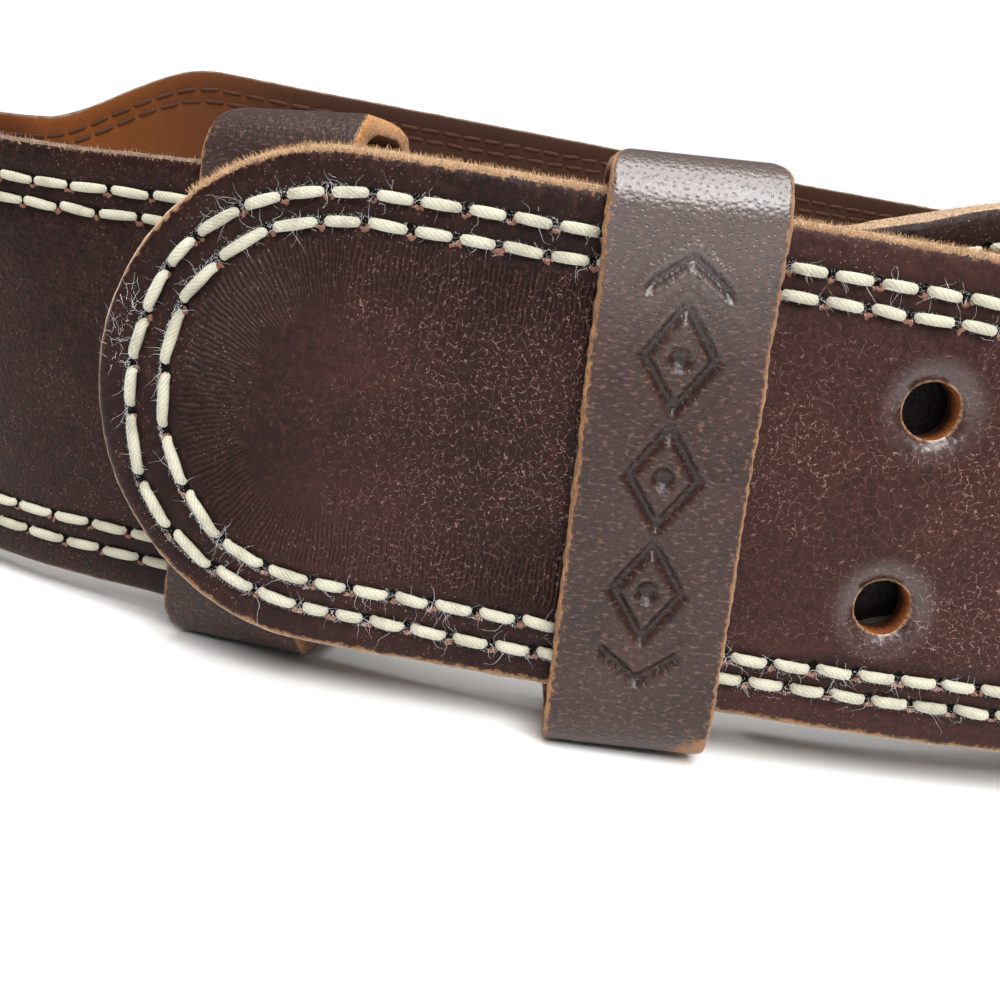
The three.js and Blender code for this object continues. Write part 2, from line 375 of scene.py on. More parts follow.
def colourOf(hexText):
    # sRGB hex to the linear colour that a shader takes
    channels = [int(hexText[k:k + 2], 16) / 255 for k in (1, 3, 5)]
    linear = [c / 12.92 if c <= 0.04045 else ((c + 0.055) / 1.055) ** 2.4 for c in channels]
    return (*linear, 1.0)


def addNode(material, kind, settings=None, inputs=None, output=0):
    # adds a node, with settings and with inputs that are values or outputs of other nodes,
    # and gives back the output that is wanted
    node = material.node_tree.nodes.new(kind)
    for name, value in (settings or {}).items():
        setattr(node, name, value)
    for socket, value in (inputs or {}).items():
        if isinstance(value, bpy.types.NodeSocket):
            material.node_tree.links.new(value, node.inputs[socket])
        else:
            node.inputs[socket].default_value = value
    return node.outputs[output] if node.outputs else node


def newMaterial(name):
    material = bpy.data.materials.new(name)
    material.use_nodes = True
    material.node_tree.nodes.clear()
    # places in millimetres, for patterns of a real size
    spot = addNode(material, "ShaderNodeTexCoord", output="Object")
    scale = {"Vector": spot, "Scale": (1000, 1000, 1000)}
    return material, addNode(material, "ShaderNodeMapping", inputs=scale)


def finishMaterial(material, surface):
    shader = addNode(material, "ShaderNodeBsdfPrincipled", inputs=surface)
    addNode(material, "ShaderNodeOutputMaterial", inputs={"Surface": shader})
    return material


# names for the nodes and settings that the materials use most. A range node takes its value,
# from and to as inputs 0 to 4, and a colour mix its share and two colours as 0, 6 and 7.
noiseNode, cellNode, mixNode = "ShaderNodeTexNoise", "ShaderNodeTexVoronoi", "ShaderNodeMix"
mathNode, rangeNode = "ShaderNodeMath", "ShaderNodeMapRange"
factNode, bumpNode = "ShaderNodeAttribute", "ShaderNodeBump"
times, minus = {"operation": "MULTIPLY"}, {"operation": "SUBTRACT"}
larger, sizeOf = {"operation": "MAXIMUM"}, {"operation": "ABSOLUTE"}
addScaled = {"operation": "MULTIPLY_ADD"}
softly = {"interpolation_type": "SMOOTHSTEP"}
tints = {"data_type": "RGBA"}
flatCells = {"voronoi_dimensions": "2D"}


grainLook = {
    "dark": "#150907",
    "brown": "#22100d",
    "rubbed": "#3a201c",
    # painted highlight on the crests of the tip's wrinkles, and painted shade in their furrows
    "ridge": "#4c3128",
    "furrow": "#0d0504",
    "crack": "#8f6f66",
    "knot": "#b59c90",
    "raw": "#957152",
    # painted shade: near black where the tongue covers the body
    "shadeUnderTongue": "#060303",
    # painted shade: the near black inside each needle hole
    "pit": "#020101",
    "pebble": 0.85,  # mm across a grain
    "crackCell": 1.25,  # mm from crack to crack
    "specksPerMm": 2.0,
    "wrinkle": 0.84,  # mm from one tip wrinkle to the next
    "roughness": 0.5,
}


def makeGrainLeather():
    # Vegetable-tanned bridle leather, drum dyed: a near-black brown that mottles, a fine
    # pebbled grain that breaks into pale hairline cracks where it has been bent
    look = grainLook
    material, place = newMaterial("vegetable_tanned_bridle_leather")
    fact = {}
    for name in (
        "edge_distance", "hole_distance", "seam_away_outer", "seam_away_inner",
        "seam_phase_outer", "seam_phase_inner", "tongue_share", "distance_along",
        "height_across", "edge_wear", "covered", "rubbed_share", "crack_share",
    ):
        fact[name] = addNode(material, factNode, {"attribute_name": name}, output="Fac")
    mottle = addNode(
        material, noiseNode, None, {"Vector": place, "Scale": 0.07, "Detail": 4, "Roughness": 0.65}
    )
    fine = addNode(
        material, noiseNode, None, {"Vector": place, "Scale": 0.9, "Detail": 2, "Roughness": 0.65}
    )
    # patterns that lie in the surface: along the strap and across it
    spread = addNode(
        material, "ShaderNodeCombineXYZ", None,
        {"X": fact["distance_along"], "Y": fact["height_across"]},
    )
    pebble = addNode(material, cellNode, flatCells, {0: spread, "Scale": 1 / look["pebble"]})
    # hairline cracks, in patches, on a lattice that noise pulls out of true
    warp = addNode(
        material, noiseNode, {"noise_dimensions": "2D"},
        {"Vector": spread, "Scale": 0.9, "Detail": 1}, output="Color",
    )
    pulled = addNode(
        material, "ShaderNodeVectorMath", addScaled, {0: warp, 1: (1.5, 1.5, 1.5), 2: spread}
    )
    lattice = addNode(
        material, cellNode, {**flatCells, "feature": "DISTANCE_TO_EDGE"},
        {0: pulled, "Scale": 1 / look["crackCell"]},
    )
    broken = addNode(material, noiseNode, None, {"Vector": place, "Scale": 2.1, "Detail": 1})
    crack = addNode(material, rangeNode, softly, {0: lattice, 1: 0, 2: 0.04, 3: 1, 4: 0})
    patches = addNode(material, rangeNode, softly, {0: mottle, 1: 0.34, 2: 0.6, 3: 0.3, 4: 0.8})
    inPieces = addNode(material, rangeNode, softly, {0: broken, 1: 0.42, 2: 0.6, 3: 0.1, 4: 1})
    inland = addNode(
        material, rangeNode, softly, {0: fact["edge_distance"], 1: 9.5, 2: 14, 3: 0.1, 4: 1}
    )
    for share in (patches, inPieces, inland, fact["crack_share"]):
        crack = addNode(material, mathNode, times, {0: crack, 1: share})
    # pale specks of rubbed-off finish and dust, most of them where cracks meet
    dots = addNode(material, cellNode, flatCells, {0: spread, "Scale": look["specksPerMm"]})
    speck = addNode(material, rangeNode, softly, {0: dots, 1: 0.06, 2: 0.17, 3: 0.6, 4: 0})
    some = addNode(material, rangeNode, softly, {0: broken, 1: 0.54, 2: 0.66})
    more = addNode(material, rangeNode, softly, {0: patches, 1: 0.35, 2: 0.8})
    for share in (some, more):
        speck = addNode(material, mathNode, times, {0: speck, 1: share})
    # the fine wrinkles that stand square to the seam round the tip
    drift = addNode(material, noiseNode, None, {"Vector": place, "Scale": 0.3, "Detail": 1})
    drift = addNode(material, mathNode, times, {0: drift, 1: 9})
    turns = 2 * math.pi * seamShape["tipStitch"] / look["wrinkle"]
    ripple = addNode(
        material, mathNode, addScaled, {0: fact["seam_phase_inner"], 1: turns, 2: drift}
    )
    ripple = addNode(material, mathNode, {"operation": "SINE"}, {0: ripple})
    fromSeam = fact["seam_away_inner"]
    begun = addNode(material, rangeNode, softly, {0: fromSeam, 1: 1.2, 2: 3})
    fading = addNode(material, rangeNode, softly, {0: fromSeam, 1: 5, 2: 15, 3: 1, 4: 0})
    uneven = addNode(material, rangeNode, softly, {0: fine, 1: 0.35, 2: 0.6, 3: 0.35, 4: 1})
    for share in (begun, fading, uneven, fact["tongue_share"]):
        ripple = addNode(material, mathNode, times, {0: ripple, 1: share})
    # the needle holes between the stitches, painted near black as the shade inside each hole, and
    # the dark pressed line of each seam
    pits = []
    sewn = []
    for row in ("outer", "inner"):
        phase = fact["seam_phase_" + row]
        share = addNode(material, mathNode, {"operation": "PINGPONG"}, {0: phase, 1: 0.5})
        along = addNode(material, mathNode, times, {0: share, 1: seamShape["pitch"]})
        off = addNode(material, mathNode, sizeOf, {0: fact["seam_away_" + row]})
        reach = addNode(material, mathNode, times, {0: along, 1: along})
        reach = addNode(material, mathNode, addScaled, {0: off, 1: off, 2: reach})
        reach = addNode(material, mathNode, {"operation": "SQRT"}, {0: reach})
        reach = addNode(material, mathNode, addScaled, {0: broken, 1: 0.5, 2: reach})
        pits.append(addNode(material, rangeNode, softly, {0: reach, 1: 0.85, 2: 1.15, 3: 1, 4: 0}))
        sewn.append(addNode(material, rangeNode, softly, {0: off, 1: 0.7, 2: 2.2, 3: 0.6, 4: 0}))
    pit = addNode(material, mathNode, larger, {0: pits[0], 1: pits[1]})
    seam = addNode(material, mathNode, larger, {0: sewn[0], 1: sewn[1]})
    # worn to raw leather along the edge and round the punched holes
    frayed = addNode(
        material, mathNode, addScaled, {0: fine, 1: -1.8, 2: fact["edge_distance"]}
    )
    frayed = addNode(material, mathNode, minus, {0: frayed, 1: fact["edge_wear"]})
    edgeWear = addNode(material, rangeNode, softly, {0: frayed, 1: -0.9, 2: -0.2, 3: 0.75, 4: 0})
    fromHole = fact["hole_distance"]
    rimWear = addNode(material, rangeNode, softly, {0: fromHole, 1: 0.08, 2: 0.42, 3: 0.85, 4: 0})
    patchy = addNode(material, rangeNode, softly, {0: broken, 1: 0.35, 2: 0.55, 3: 0.35, 4: 1})
    rimWear = addNode(material, mathNode, times, {0: rimWear, 1: patchy})
    wear = addNode(material, mathNode, larger, {0: edgeWear, 1: rimWear})

    mottled = addNode(material, rangeNode, softly, {0: mottle, 1: 0.3, 2: 0.7})
    rubbedFine = addNode(material, rangeNode, softly, {0: fine, 1: 0.45, 2: 0.8, 3: 0, 4: 0.6})
    rubbed = addNode(material, rangeNode, softly, {0: fine, 1: 0.3, 2: 0.6, 3: 0.55, 4: 1})
    rubbed = addNode(material, mathNode, times, {0: rubbed, 1: fact["rubbed_share"]})
    # the wrinkles' crests get a painted highlight and their furrows a painted shade
    ridge = addNode(material, rangeNode, softly, {0: ripple, 1: 0.1, 2: 1, 3: 0, 4: 0.28})
    furrow = addNode(material, rangeNode, softly, {0: ripple, 1: -1, 2: -0.1, 3: 0.55, 4: 0})
    colour = colourOf(look["dark"])
    for share, tint in (
        (mottled, "brown"), (rubbedFine, "rubbed"), (rubbed, "rubbed"), (seam, "dark"),
        (ridge, "ridge"), (furrow, "furrow"), (crack, "crack"), (speck, "knot"),
        (wear, "raw"), (fact["covered"], "shadeUnderTongue"), (pit, "pit"),
    ):
        colour = addNode(
            material, mixNode, tints, {0: share, 6: colour, 7: colourOf(look[tint])}, output=2
        )
    height = addNode(material, mathNode, times, {0: pebble, 1: -0.06})
    for source, size in ((fine, 0.05), (ripple, 0.13), (pit, -0.6)):
        height = addNode(material, mathNode, addScaled, {0: source, 1: size, 2: height})
    bump = addNode(material, bumpNode, None, {"Height": height, "Distance": 0.001, "Strength": 1})
    roughness = addNode(
        material, rangeNode, softly,
        {0: fine, 1: 0.3, 2: 0.7, 3: look["roughness"] - 0.08, 4: look["roughness"] + 0.1},
    )
    # the prong has polished the dish round each hole
    polish = addNode(material, rangeNode, softly, {0: fromHole, 1: 1, 2: 4.2, 3: 0.9, 4: 0})
    bare = addNode(material, mathNode, larger, {0: wear, 1: pit})
    roughness = addNode(material, mathNode, addScaled, {0: bare, 1: 0.4, 2: roughness})
    return finishMaterial(
        material,
        {
            "Base Color": colour, "Roughness": roughness, "Normal": bump,
            "Specular IOR Level": 0.12, "Coat Weight": polish, "Coat Roughness": 0.32,
            "Coat Normal": bump,
        },
    )


# the raw leather that a cut lays bare: its dry torn fibres, the parts that handling has burnished,
# and the hollows between the fibres, painted darker as shade. On the walls of the punched holes the
# dark colour is a painted shade, deepest inside the hole
cutLooks = {
    "raw_cut_leather_edge": {
        "burnishedAndWallShade": "#4a3226", "dry": "#b39576", "hollow": "#382419", "sheen": 0.15,
    },
    "raw_cut_keeper_edge": {
        "burnishedAndWallShade": "#33211a", "dry": "#b47c3c", "hollow": "#4a2b14", "sheen": 0.15,
    },
    "raw_punched_hole_wall": {
        "burnishedAndWallShade": "#240e06", "dry": "#8f5024", "hollow": "#30170b", "sheen": 0.0,
    # painted shade: the near black deep inside the hole
    },
}
fibreBundle = 0.35  # mm across a torn fibre bundle


def makeCutLeather(name):
    # The raw edge of cut leather: matt torn fibres, tan where it is dry and open, and darker where
    # handling has burnished it. On a punched hole's wall the darker colour is a painted shade that
    # grows away from the outer face
    look = cutLooks[name]
    material, place = newMaterial(name)
    side = addNode(material, factNode, {"attribute_name": "raw_share_and_wall_shade"}, output="Fac")
    fibres = addNode(
        material, noiseNode, None,
        {"Vector": place, "Scale": 1 / fibreBundle, "Detail": 4, "Roughness": 0.75},
    )
    clumps = addNode(
        material, noiseNode, None, {"Vector": place, "Scale": 0.35, "Detail": 3, "Roughness": 0.6}
    )
    dry = addNode(material, mathNode, addScaled, {0: clumps, 1: 0.9, 2: side})
    dry = addNode(material, rangeNode, softly, {0: dry, 1: 0.35, 2: 1.25})
    # painted shade in the hollows between the fibres
    hollow = addNode(material, rangeNode, None, {0: fibres, 1: 0.38, 2: 0.58, 3: 0.75, 4: 0})
    colour = colourOf(look["burnishedAndWallShade"])
    for share, tint in ((dry, "dry"), (hollow, "hollow")):
        colour = addNode(
            material, mixNode, tints, {0: share, 6: colour, 7: colourOf(look[tint])}, output=2
        )
    height = addNode(material, mathNode, addScaled, {0: fibres, 1: 0.35, 2: clumps})
    bump = addNode(material, bumpNode, None, {"Height": height, "Distance": 0.0006, "Strength": 1})
    return finishMaterial(
        material,
        {
            "Base Color": colour, "Normal": bump, "Roughness": 0.88, "Specular IOR Level": 0.2,
            "Sheen Weight": look["sheen"], "Sheen Roughness": 0.6,
        },
    )


fleshLook = {
    "brown": "#52290d",
    "amber": "#7e4516",
    "backShadeColour": "#2b1911",
    # painted shade on the flesh side of the belt's back
    "fleck": "#2b180f",
    "backShadeStart": 470.0,  # mm along the strap, where the painted shade on the back begins
    "backShadeEnd": 560.0,
    "backShadeWander": 120.0,
}


def makeFleshSide():
    # The flesh side: a short brushed nap, amber where it is clean and brown where it has been worn
    # against, and darker along the back of the belt, a painted shade
    look = fleshLook
    material, place = newMaterial("brushed_flesh_side_leather")
    along = addNode(material, factNode, {"attribute_name": "distance_along"}, output="Fac")
    clouds = addNode(
        material, noiseNode, None, {"Vector": place, "Scale": 0.03, "Detail": 5, "Roughness": 0.6}
    )
    nap = addNode(
        material, noiseNode, None, {"Vector": place, "Scale": 1.6, "Detail": 4, "Roughness": 0.7}
    )
    # the noise that lets the painted shade's border wander adds half its range on the way
    shift = look["backShadeWander"] / 2
    backShadeStart, backShadeEnd = look["backShadeStart"] + shift, look["backShadeEnd"] + shift
    backShade = addNode(material, mathNode, addScaled, {0: clouds, 1: look["backShadeWander"], 2: along})
    backShade = addNode(
        material, rangeNode, softly, {0: backShade, 1: backShadeStart, 2: backShadeEnd, 3: 0, 4: 0.95}
    )
    clean = addNode(material, rangeNode, None, {0: clouds, 1: 0.3, 2: 0.7})
    fleck = addNode(material, rangeNode, None, {0: nap, 1: 0.35, 2: 0.7, 3: 0.35, 4: 0})
    colour = colourOf(look["brown"])
    for share, tint in ((clean, "amber"), (backShade, "backShadeColour"), (fleck, "fleck")):
        colour = addNode(
            material, mixNode, tints, {0: share, 6: colour, 7: colourOf(look[tint])}, output=2
        )
    bump = addNode(material, bumpNode, None, {"Height": nap, "Distance": 0.00015, "Strength": 1})
    return finishMaterial(
        material,
        {
            "Base Color": colour, "Normal": bump, "Roughness": 0.8, "Specular IOR Level": 0.12,
            "Sheen Weight": 0.04, "Sheen Roughness": 0.5,
        },
    )


keeperLook = {
    "dark": "#20110e",
    "brown": "#321c16",
    "pore": "#100807",
    "fleck": "#71554a",
    "worn": "#7b573a",
    # painted glare, the grey haze of light on the upper fold
    "paintedGlare": "#6a605c",
    "poreGap": 0.95,  # mm between hair pores
    "grainsPerMm": 1.5,
    "fleckScale": (2.3, 0.95, 1),  # flecks to the millimetre, round the band and across it
    "roughness": 0.4,
}


def makeKeeperLeather():
    # Glazed harness leather: rolled smooth under heat, so it shines along its folds, with the hair
    # pores left as dark pricks and a grey painted glare on its upper part
    look = keeperLook
    material, place = newMaterial("glazed_harness_leather")
    fact = {}
    for name in (
        "cut_distance", "worn_corner", "distance_round", "height_across", "glaze_and_glare_share",
        "tooled_depth",
    ):
        fact[name] = addNode(material, factNode, {"attribute_name": name}, output="Fac")
    mottle = addNode(
        material, noiseNode, None, {"Vector": place, "Scale": 0.12, "Detail": 5, "Roughness": 0.6}
    )
    fine = addNode(
        material, noiseNode, None, {"Vector": place, "Scale": 1.2, "Detail": 3, "Roughness": 0.6}
    )
    spread = addNode(
        material, "ShaderNodeCombineXYZ", None,
        {"X": fact["distance_round"], "Y": fact["height_across"]},
    )
    pricks = addNode(material, cellNode, flatCells, {0: spread, "Scale": 1 / look["poreGap"]})
    pore = addNode(material, rangeNode, softly, {0: pricks, 1: 0.1, 2: 0.23, 3: 0.65, 4: 0})
    grain = addNode(material, cellNode, flatCells, {0: spread, "Scale": look["grainsPerMm"]})
    # the tops of the grain, short flecks across the band, rubbed paler than the hollows
    flecks = addNode(
        material, "ShaderNodeMapping", None, {"Vector": spread, "Scale": look["fleckScale"]}
    )
    flecks = addNode(
        material, noiseNode, {"noise_dimensions": "2D"}, {"Vector": flecks, "Scale": 1, "Detail": 2}
    )
    crease = addNode(material, rangeNode, softly, {0: flecks, 1: 0.56, 2: 0.72, 3: 0, 4: 0.36})
    # a painted glare: the upper part lightened grey where light falls on the fold, more on the
    # glazed front keeper
    up = addNode(material, "ShaderNodeSeparateXYZ", None, {"Vector": place}, output="Z")
    paintedGlare = addNode(material, rangeNode, softly, {0: up, 1: 50, 2: 70, 3: 0, 4: 0.24})
    paintedGlare = addNode(material, mathNode, times, {0: paintedGlare, 1: fact["glaze_and_glare_share"]})
    # worn raw along the cut edges and at one corner
    frayed = addNode(material, mathNode, addScaled, {0: fine, 1: -1.6, 2: fact["cut_distance"]})
    edgeWear = addNode(material, rangeNode, softly, {0: frayed, 1: -0.6, 2: -0.1, 3: 1, 4: 0})
    patch = addNode(material, mathNode, addScaled, {0: fine, 1: 0.9, 2: fact["worn_corner"]})
    patch = addNode(material, rangeNode, softly, {0: patch, 1: 1, 2: 1.2})
    wear = addNode(material, mathNode, larger, {0: edgeWear, 1: patch})

    mottled = addNode(material, rangeNode, None, {0: mottle, 1: 0.3, 2: 0.7})
    colour = colourOf(look["dark"])
    for share, tint in (
        (mottled, "brown"), (paintedGlare, "paintedGlare"), (pore, "pore"), (crease, "fleck"),
        (fact["tooled_depth"], "pore"), (wear, "worn"),
    ):
        colour = addNode(
            material, mixNode, tints, {0: share, 6: colour, 7: colourOf(look[tint])}, output=2
        )
    height = addNode(material, mathNode, times, {0: pore, 1: -0.05})
    for source, size in ((grain, -0.05), (flecks, 0.02), (fine, 0.05), (wear, -0.05)):
        height = addNode(material, mathNode, addScaled, {0: source, 1: size, 2: height})
    bump = addNode(material, bumpNode, None, {"Height": height, "Distance": 0.001, "Strength": 1})
    roughness = addNode(
        material, rangeNode, None,
        {0: mottle, 1: 0.3, 2: 0.7, 3: look["roughness"] - 0.05, 4: look["roughness"] + 0.08},
    )
    roughness = addNode(material, mathNode, addScaled, {0: wear, 1: 0.4, 2: roughness})
    # glazed most at the upper fold
    glaze = addNode(material, rangeNode, softly, {0: up, 1: 50, 2: 74, 3: 0.2, 4: 1})
    glaze = addNode(material, mathNode, times, {0: glaze, 1: fact["glaze_and_glare_share"]})
    return finishMaterial(
        material,
        {
            "Base Color": colour, "Roughness": roughness, "Normal": bump,
            "Specular IOR Level": 0.25, "Coat Weight": glaze, "Coat Roughness": 0.33,
            "Coat Normal": bump,
        },
    )


threadLooks = {
    # the middle colour is soil and painted shade in the grooves, the last a painted near-black shade
    # for thread under the tongue
    "waxed_linen_thread": {"clean": "#b0ad9a", "soilAndGrooveShade": "#635c4b", "threadShadeUnderTongue": "#090504"},
    "stained_linen_thread": {"clean": "#46291a", "soilAndGrooveShade": "#301b10", "threadShadeUnderTongue": "#090504"},
}


def makeThread(name):
    # Waxed linen thread, matt: fine strands wound round each other, creamy white where it is clean,
    # darker with soil and with a painted shade in its grooves, and painted near black as shade where
    # the tongue covers it
    look = threadLooks[name]
    material, place = newMaterial(name)
    fuzz = addNode(
        material, noiseNode, None, {"Vector": place, "Scale": 3.5, "Detail": 2, "Roughness": 0.7}
    )
    soil = addNode(material, noiseNode, None, {"Vector": place, "Scale": 0.25, "Detail": 2})
    strands = addNode(material, factNode, {"attribute_name": "ply_phase"}, output="Fac")
    covered = addNode(material, factNode, {"attribute_name": "covered"}, output="Fac")
    strands = addNode(material, mathNode, addScaled, {0: fuzz, 1: 0.35, 2: strands})
    groove = addNode(material, mathNode, {"operation": "FRACT"}, {0: strands})
    groove = addNode(material, mathNode, addScaled, {0: groove, 1: 2, 2: -1})
    groove = addNode(material, mathNode, sizeOf, {0: groove})
    groove = addNode(material, mathNode, {"operation": "POWER"}, {0: groove, 1: 4})
    # soil in random patches, and a painted shade in the grooves between the strands
    soilAndGrooveShade = addNode(material, rangeNode, None, {0: soil, 1: 0.45, 2: 0.75, 3: 0, 4: 0.4})
    soilAndGrooveShade = addNode(material, mathNode, addScaled, {0: groove, 1: 0.3, 2: soilAndGrooveShade})
    colour = colourOf(look["clean"])
    for share, tint in ((soilAndGrooveShade, "soilAndGrooveShade"), (covered, "threadShadeUnderTongue")):
        colour = addNode(
            material, mixNode, tints, {0: share, 6: colour, 7: colourOf(look[tint])}, output=2
        )
    height = addNode(material, mathNode, addScaled, {0: groove, 1: -0.5, 2: fuzz})
    bump = addNode(material, bumpNode, None, {"Height": height, "Distance": 0.00012, "Strength": 1})
    return finishMaterial(
        material,
        {
            "Base Color": colour, "Normal": bump, "Roughness": 0.75, "Specular IOR Level": 0.15,
            "Sheen Weight": 0.04, "Sheen Roughness": 0.5,
        },
    )


fibreColours = {
    "torn_leather_fibre": "#7c5545",
    "loose_linen_fibre": "#f4f5f7",
    "loose_leather_fibre": "#cda982",
}


def makeFibre(name):
    # Loose linen or leather fibres, too thin to show a pattern, some in the shade of others
    material, place = newMaterial(name)
    tone = addNode(material, noiseNode, None, {"Vector": place, "Scale": 0.6, "Detail": 1})
    bright = colourOf(fibreColours[name])
    shaded = [channel * 0.5 for channel in bright[:3]] + [1.0]
    tint = addNode(material, mixNode, tints, {0: tone, 6: shaded, 7: bright}, output=2)
    return finishMaterial(
        material, {"Base Color": tint, "Roughness": 0.8, "Specular IOR Level": 0.2}
    )


nickelLook = {
    "dull": "#b0aba2",
    "bright": "#cfcbc3",
    "roughness": (0.2, 0.38),
    "scratchDepth": 0.00003,  # metres
}


def makeNickel():
    # Nickel-plated cast zinc: a warm grey mirror that handling has dulled with fine scratches
    look = nickelLook
    material, place = newMaterial("nickel_plated_cast_zinc")
    clouds = addNode(
        material, noiseNode, None, {"Vector": place, "Scale": 0.12, "Detail": 5, "Roughness": 0.65}
    )
    upright = addNode(material, "ShaderNodeMapping", None, {"Vector": place, "Scale": (1, 1, 0.08)})
    scratch = addNode(
        material, noiseNode, None, {"Vector": upright, "Scale": 4, "Detail": 3, "Roughness": 0.7}
    )
    colour = addNode(
        material, mixNode, tints,
        {0: clouds, 6: colourOf(look["dull"]), 7: colourOf(look["bright"])}, output=2,
    )
    low, high = look["roughness"]
    roughness = addNode(material, rangeNode, None, {0: clouds, 1: 0.3, 2: 0.7, 3: low, 4: high})
    bump = addNode(
        material, bumpNode, None,
        {"Height": scratch, "Distance": look["scratchDepth"], "Strength": 1},
    )
    return finishMaterial(
        material, {"Base Color": colour, "Roughness": roughness, "Normal": bump, "Metallic": 1}
    )


boardLook = {
    "shaded": "#f3f2f0",
    "white": "#f7f6f5",
}


def makeFloor():
    # Matt painted board, the pale sweep of a product shot
    material, place = newMaterial("matt_white_board")
    tooth = addNode(material, noiseNode, None, {"Vector": place, "Scale": 0.5, "Detail": 2})
    colour = addNode(
        material, mixNode, tints,
        {0: tooth, 6: colourOf(boardLook["shaded"]), 7: colourOf(boardLook["white"])}, output=2,
    )
    return finishMaterial(
        material, {"Base Color": colour, "Roughness": 0.9, "Specular IOR Level": 0.2}
    )


grainLeather = makeGrainLeather()
cutLeather = makeCutLeather("raw_cut_leather_edge")
keeperCut = makeCutLeather("raw_cut_keeper_edge")
holeLeather = makeCutLeather("raw_punched_hole_wall")
fleshLeather = makeFleshSide()
keeperLeather = makeKeeperLeather()
threadMaterial = makeThread("waxed_linen_thread")
innerThread = makeThread("stained_linen_thread")
tornMaterial = makeFibre("torn_leather_fibre")
linenFibre = makeFibre("loose_linen_fibre")
leatherFibre = makeFibre("loose_leather_fibre")
nickelMaterial = makeNickel()
floorMaterial = makeFloor()
print("materials made")


# The strap: a flat grid whose rows follow the edges, punched, given its thickness and its
# rounded edges, and then laid along the route

strapGrid = {
    "edgeSteps": [0, 0.22, 0.55, 1.0, 1.6, 2.4, 3.3, 4.2, 5.1, 6.0, 7.0, 8.0, 9.0, 10.0, 11.0],
    "blockCell": 1.2,  # round the holes
    "blockCells": 8,
    "rowCell": 1.25,  # mm between rows
    "middleCell": 1.35,
    "flapCell": 2.6,  # mm between columns, here and below
    "foldStart": 38,
    "foldCell": 1.25,
    "foldEnd": 84,
    "bodyCell": 2.85,
    "tongueStart": 1010,
    "beforeHoles": 1.7,  # on the tongue, as far as its first holes
    "tongueCell": 1.3,
    "edgeRound": 2.0,
    "edgeDrop": 1.55,
    "holeInside": 3.75,  # radius of the punched hole below its rounded lip
    "lipReach": 3.4,
    "lipDrop": 1.25,
}


wearShape = {
    "swell": 0.12,  # the faces are never quite flat
    "swellSize": 17.0,
    "ragged": 0.14,  # how far the cut edge wanders, finely and coarsely
    "raggedSizes": (1.4, 4.5),
    "raggedReach": 1.3,
    "rubbed": 0.55,  # how thin the dye is on the tongue past the tip's part
    "rubbedStart": 1010,
    "covered": 0.85,  # how dark the painted shade under the tongue makes the body
    # where the dye is rubbed thin: from the tip, up from the middle, reach, amount
    "patches": [(34, 7, 10, 0.5), (36, -17, 13, 0.6), (96, -24, 12, 0.8), (112, -2, 14, 0.7)],
}


def evenSteps(start, end, size):
    count = max(1, round((end - start) / size))
    return list(np.linspace(start, end, count + 1)[:-1])


def strapRows():
    # heights of the grid's rows on the narrow strap, from its lower edge to its upper one
    half = strapShape["front"] / 2
    edge = strapGrid["edgeSteps"]
    block = strapGrid["blockCell"] * strapGrid["blockCells"] / 2
    lowHole, highHole = sorted(strapShape["holeRows"])
    rows = [-half + step for step in edge[:-1]]
    rows += evenSteps(-half + edge[-1], lowHole - block, strapGrid["rowCell"])
    rows += evenSteps(lowHole - block, lowHole + block, strapGrid["blockCell"])
    rows += evenSteps(lowHole + block, highHole - block, strapGrid["middleCell"])
    rows += evenSteps(highHole - block, highHole + block, strapGrid["blockCell"])
    rows += evenSteps(highHole + block, half - edge[-1], strapGrid["rowCell"])
    rows += [half - step for step in reversed(edge)]
    return np.array(rows)


def strapColumns():
    # distances of the grid's columns along the strap
    edge = strapGrid["edgeSteps"]
    block = strapGrid["blockCell"] * strapGrid["blockCells"] / 2
    holes = sorted(routeLength - fromTip for fromTip in strapShape["holesFromTip"])
    foldStart, foldEnd = strapGrid["foldStart"], strapGrid["foldEnd"]
    columns = list(edge[:6]) + evenSteps(edge[6], foldStart, strapGrid["flapCell"])
    columns += evenSteps(foldStart, foldEnd, strapGrid["foldCell"])
    columns += evenSteps(foldEnd, strapGrid["tongueStart"], strapGrid["bodyCell"])
    columns += evenSteps(strapGrid["tongueStart"], holes[0] - block, strapGrid["beforeHoles"])
    for place, hole in enumerate(holes):
        columns += evenSteps(hole - block, hole + block, strapGrid["blockCell"])
        last = place == len(holes) - 1
        after = tipStart if last else holes[place + 1] - block
        columns += evenSteps(hole + block, after, strapGrid["tongueCell"])
    columns += evenSteps(tipStart, routeLength - edge[-1], strapGrid["tongueCell"])
    columns += [routeLength - step for step in reversed(edge)]
    return np.array(columns)


rowHeights = strapRows()
columnDistances = strapColumns()
print("strap grid:", len(columnDistances), "columns and", len(rowHeights), "rows")

deselectAll()
bpy.ops.mesh.primitive_grid_add(
    x_subdivisions=len(columnDistances) - 1, y_subdivisions=len(rowHeights) - 1, size=2
)
strap = bpy.context.object
strap.name = "strap_leather"


def gridIndex(places):
    # column and row numbers of places in the unit grid
    column = (places[:, 0] + 1) / 2 * (len(columnDistances) - 1)
    row = (places[:, 1] + 1) / 2 * (len(rowHeights) - 1)
    return column, row


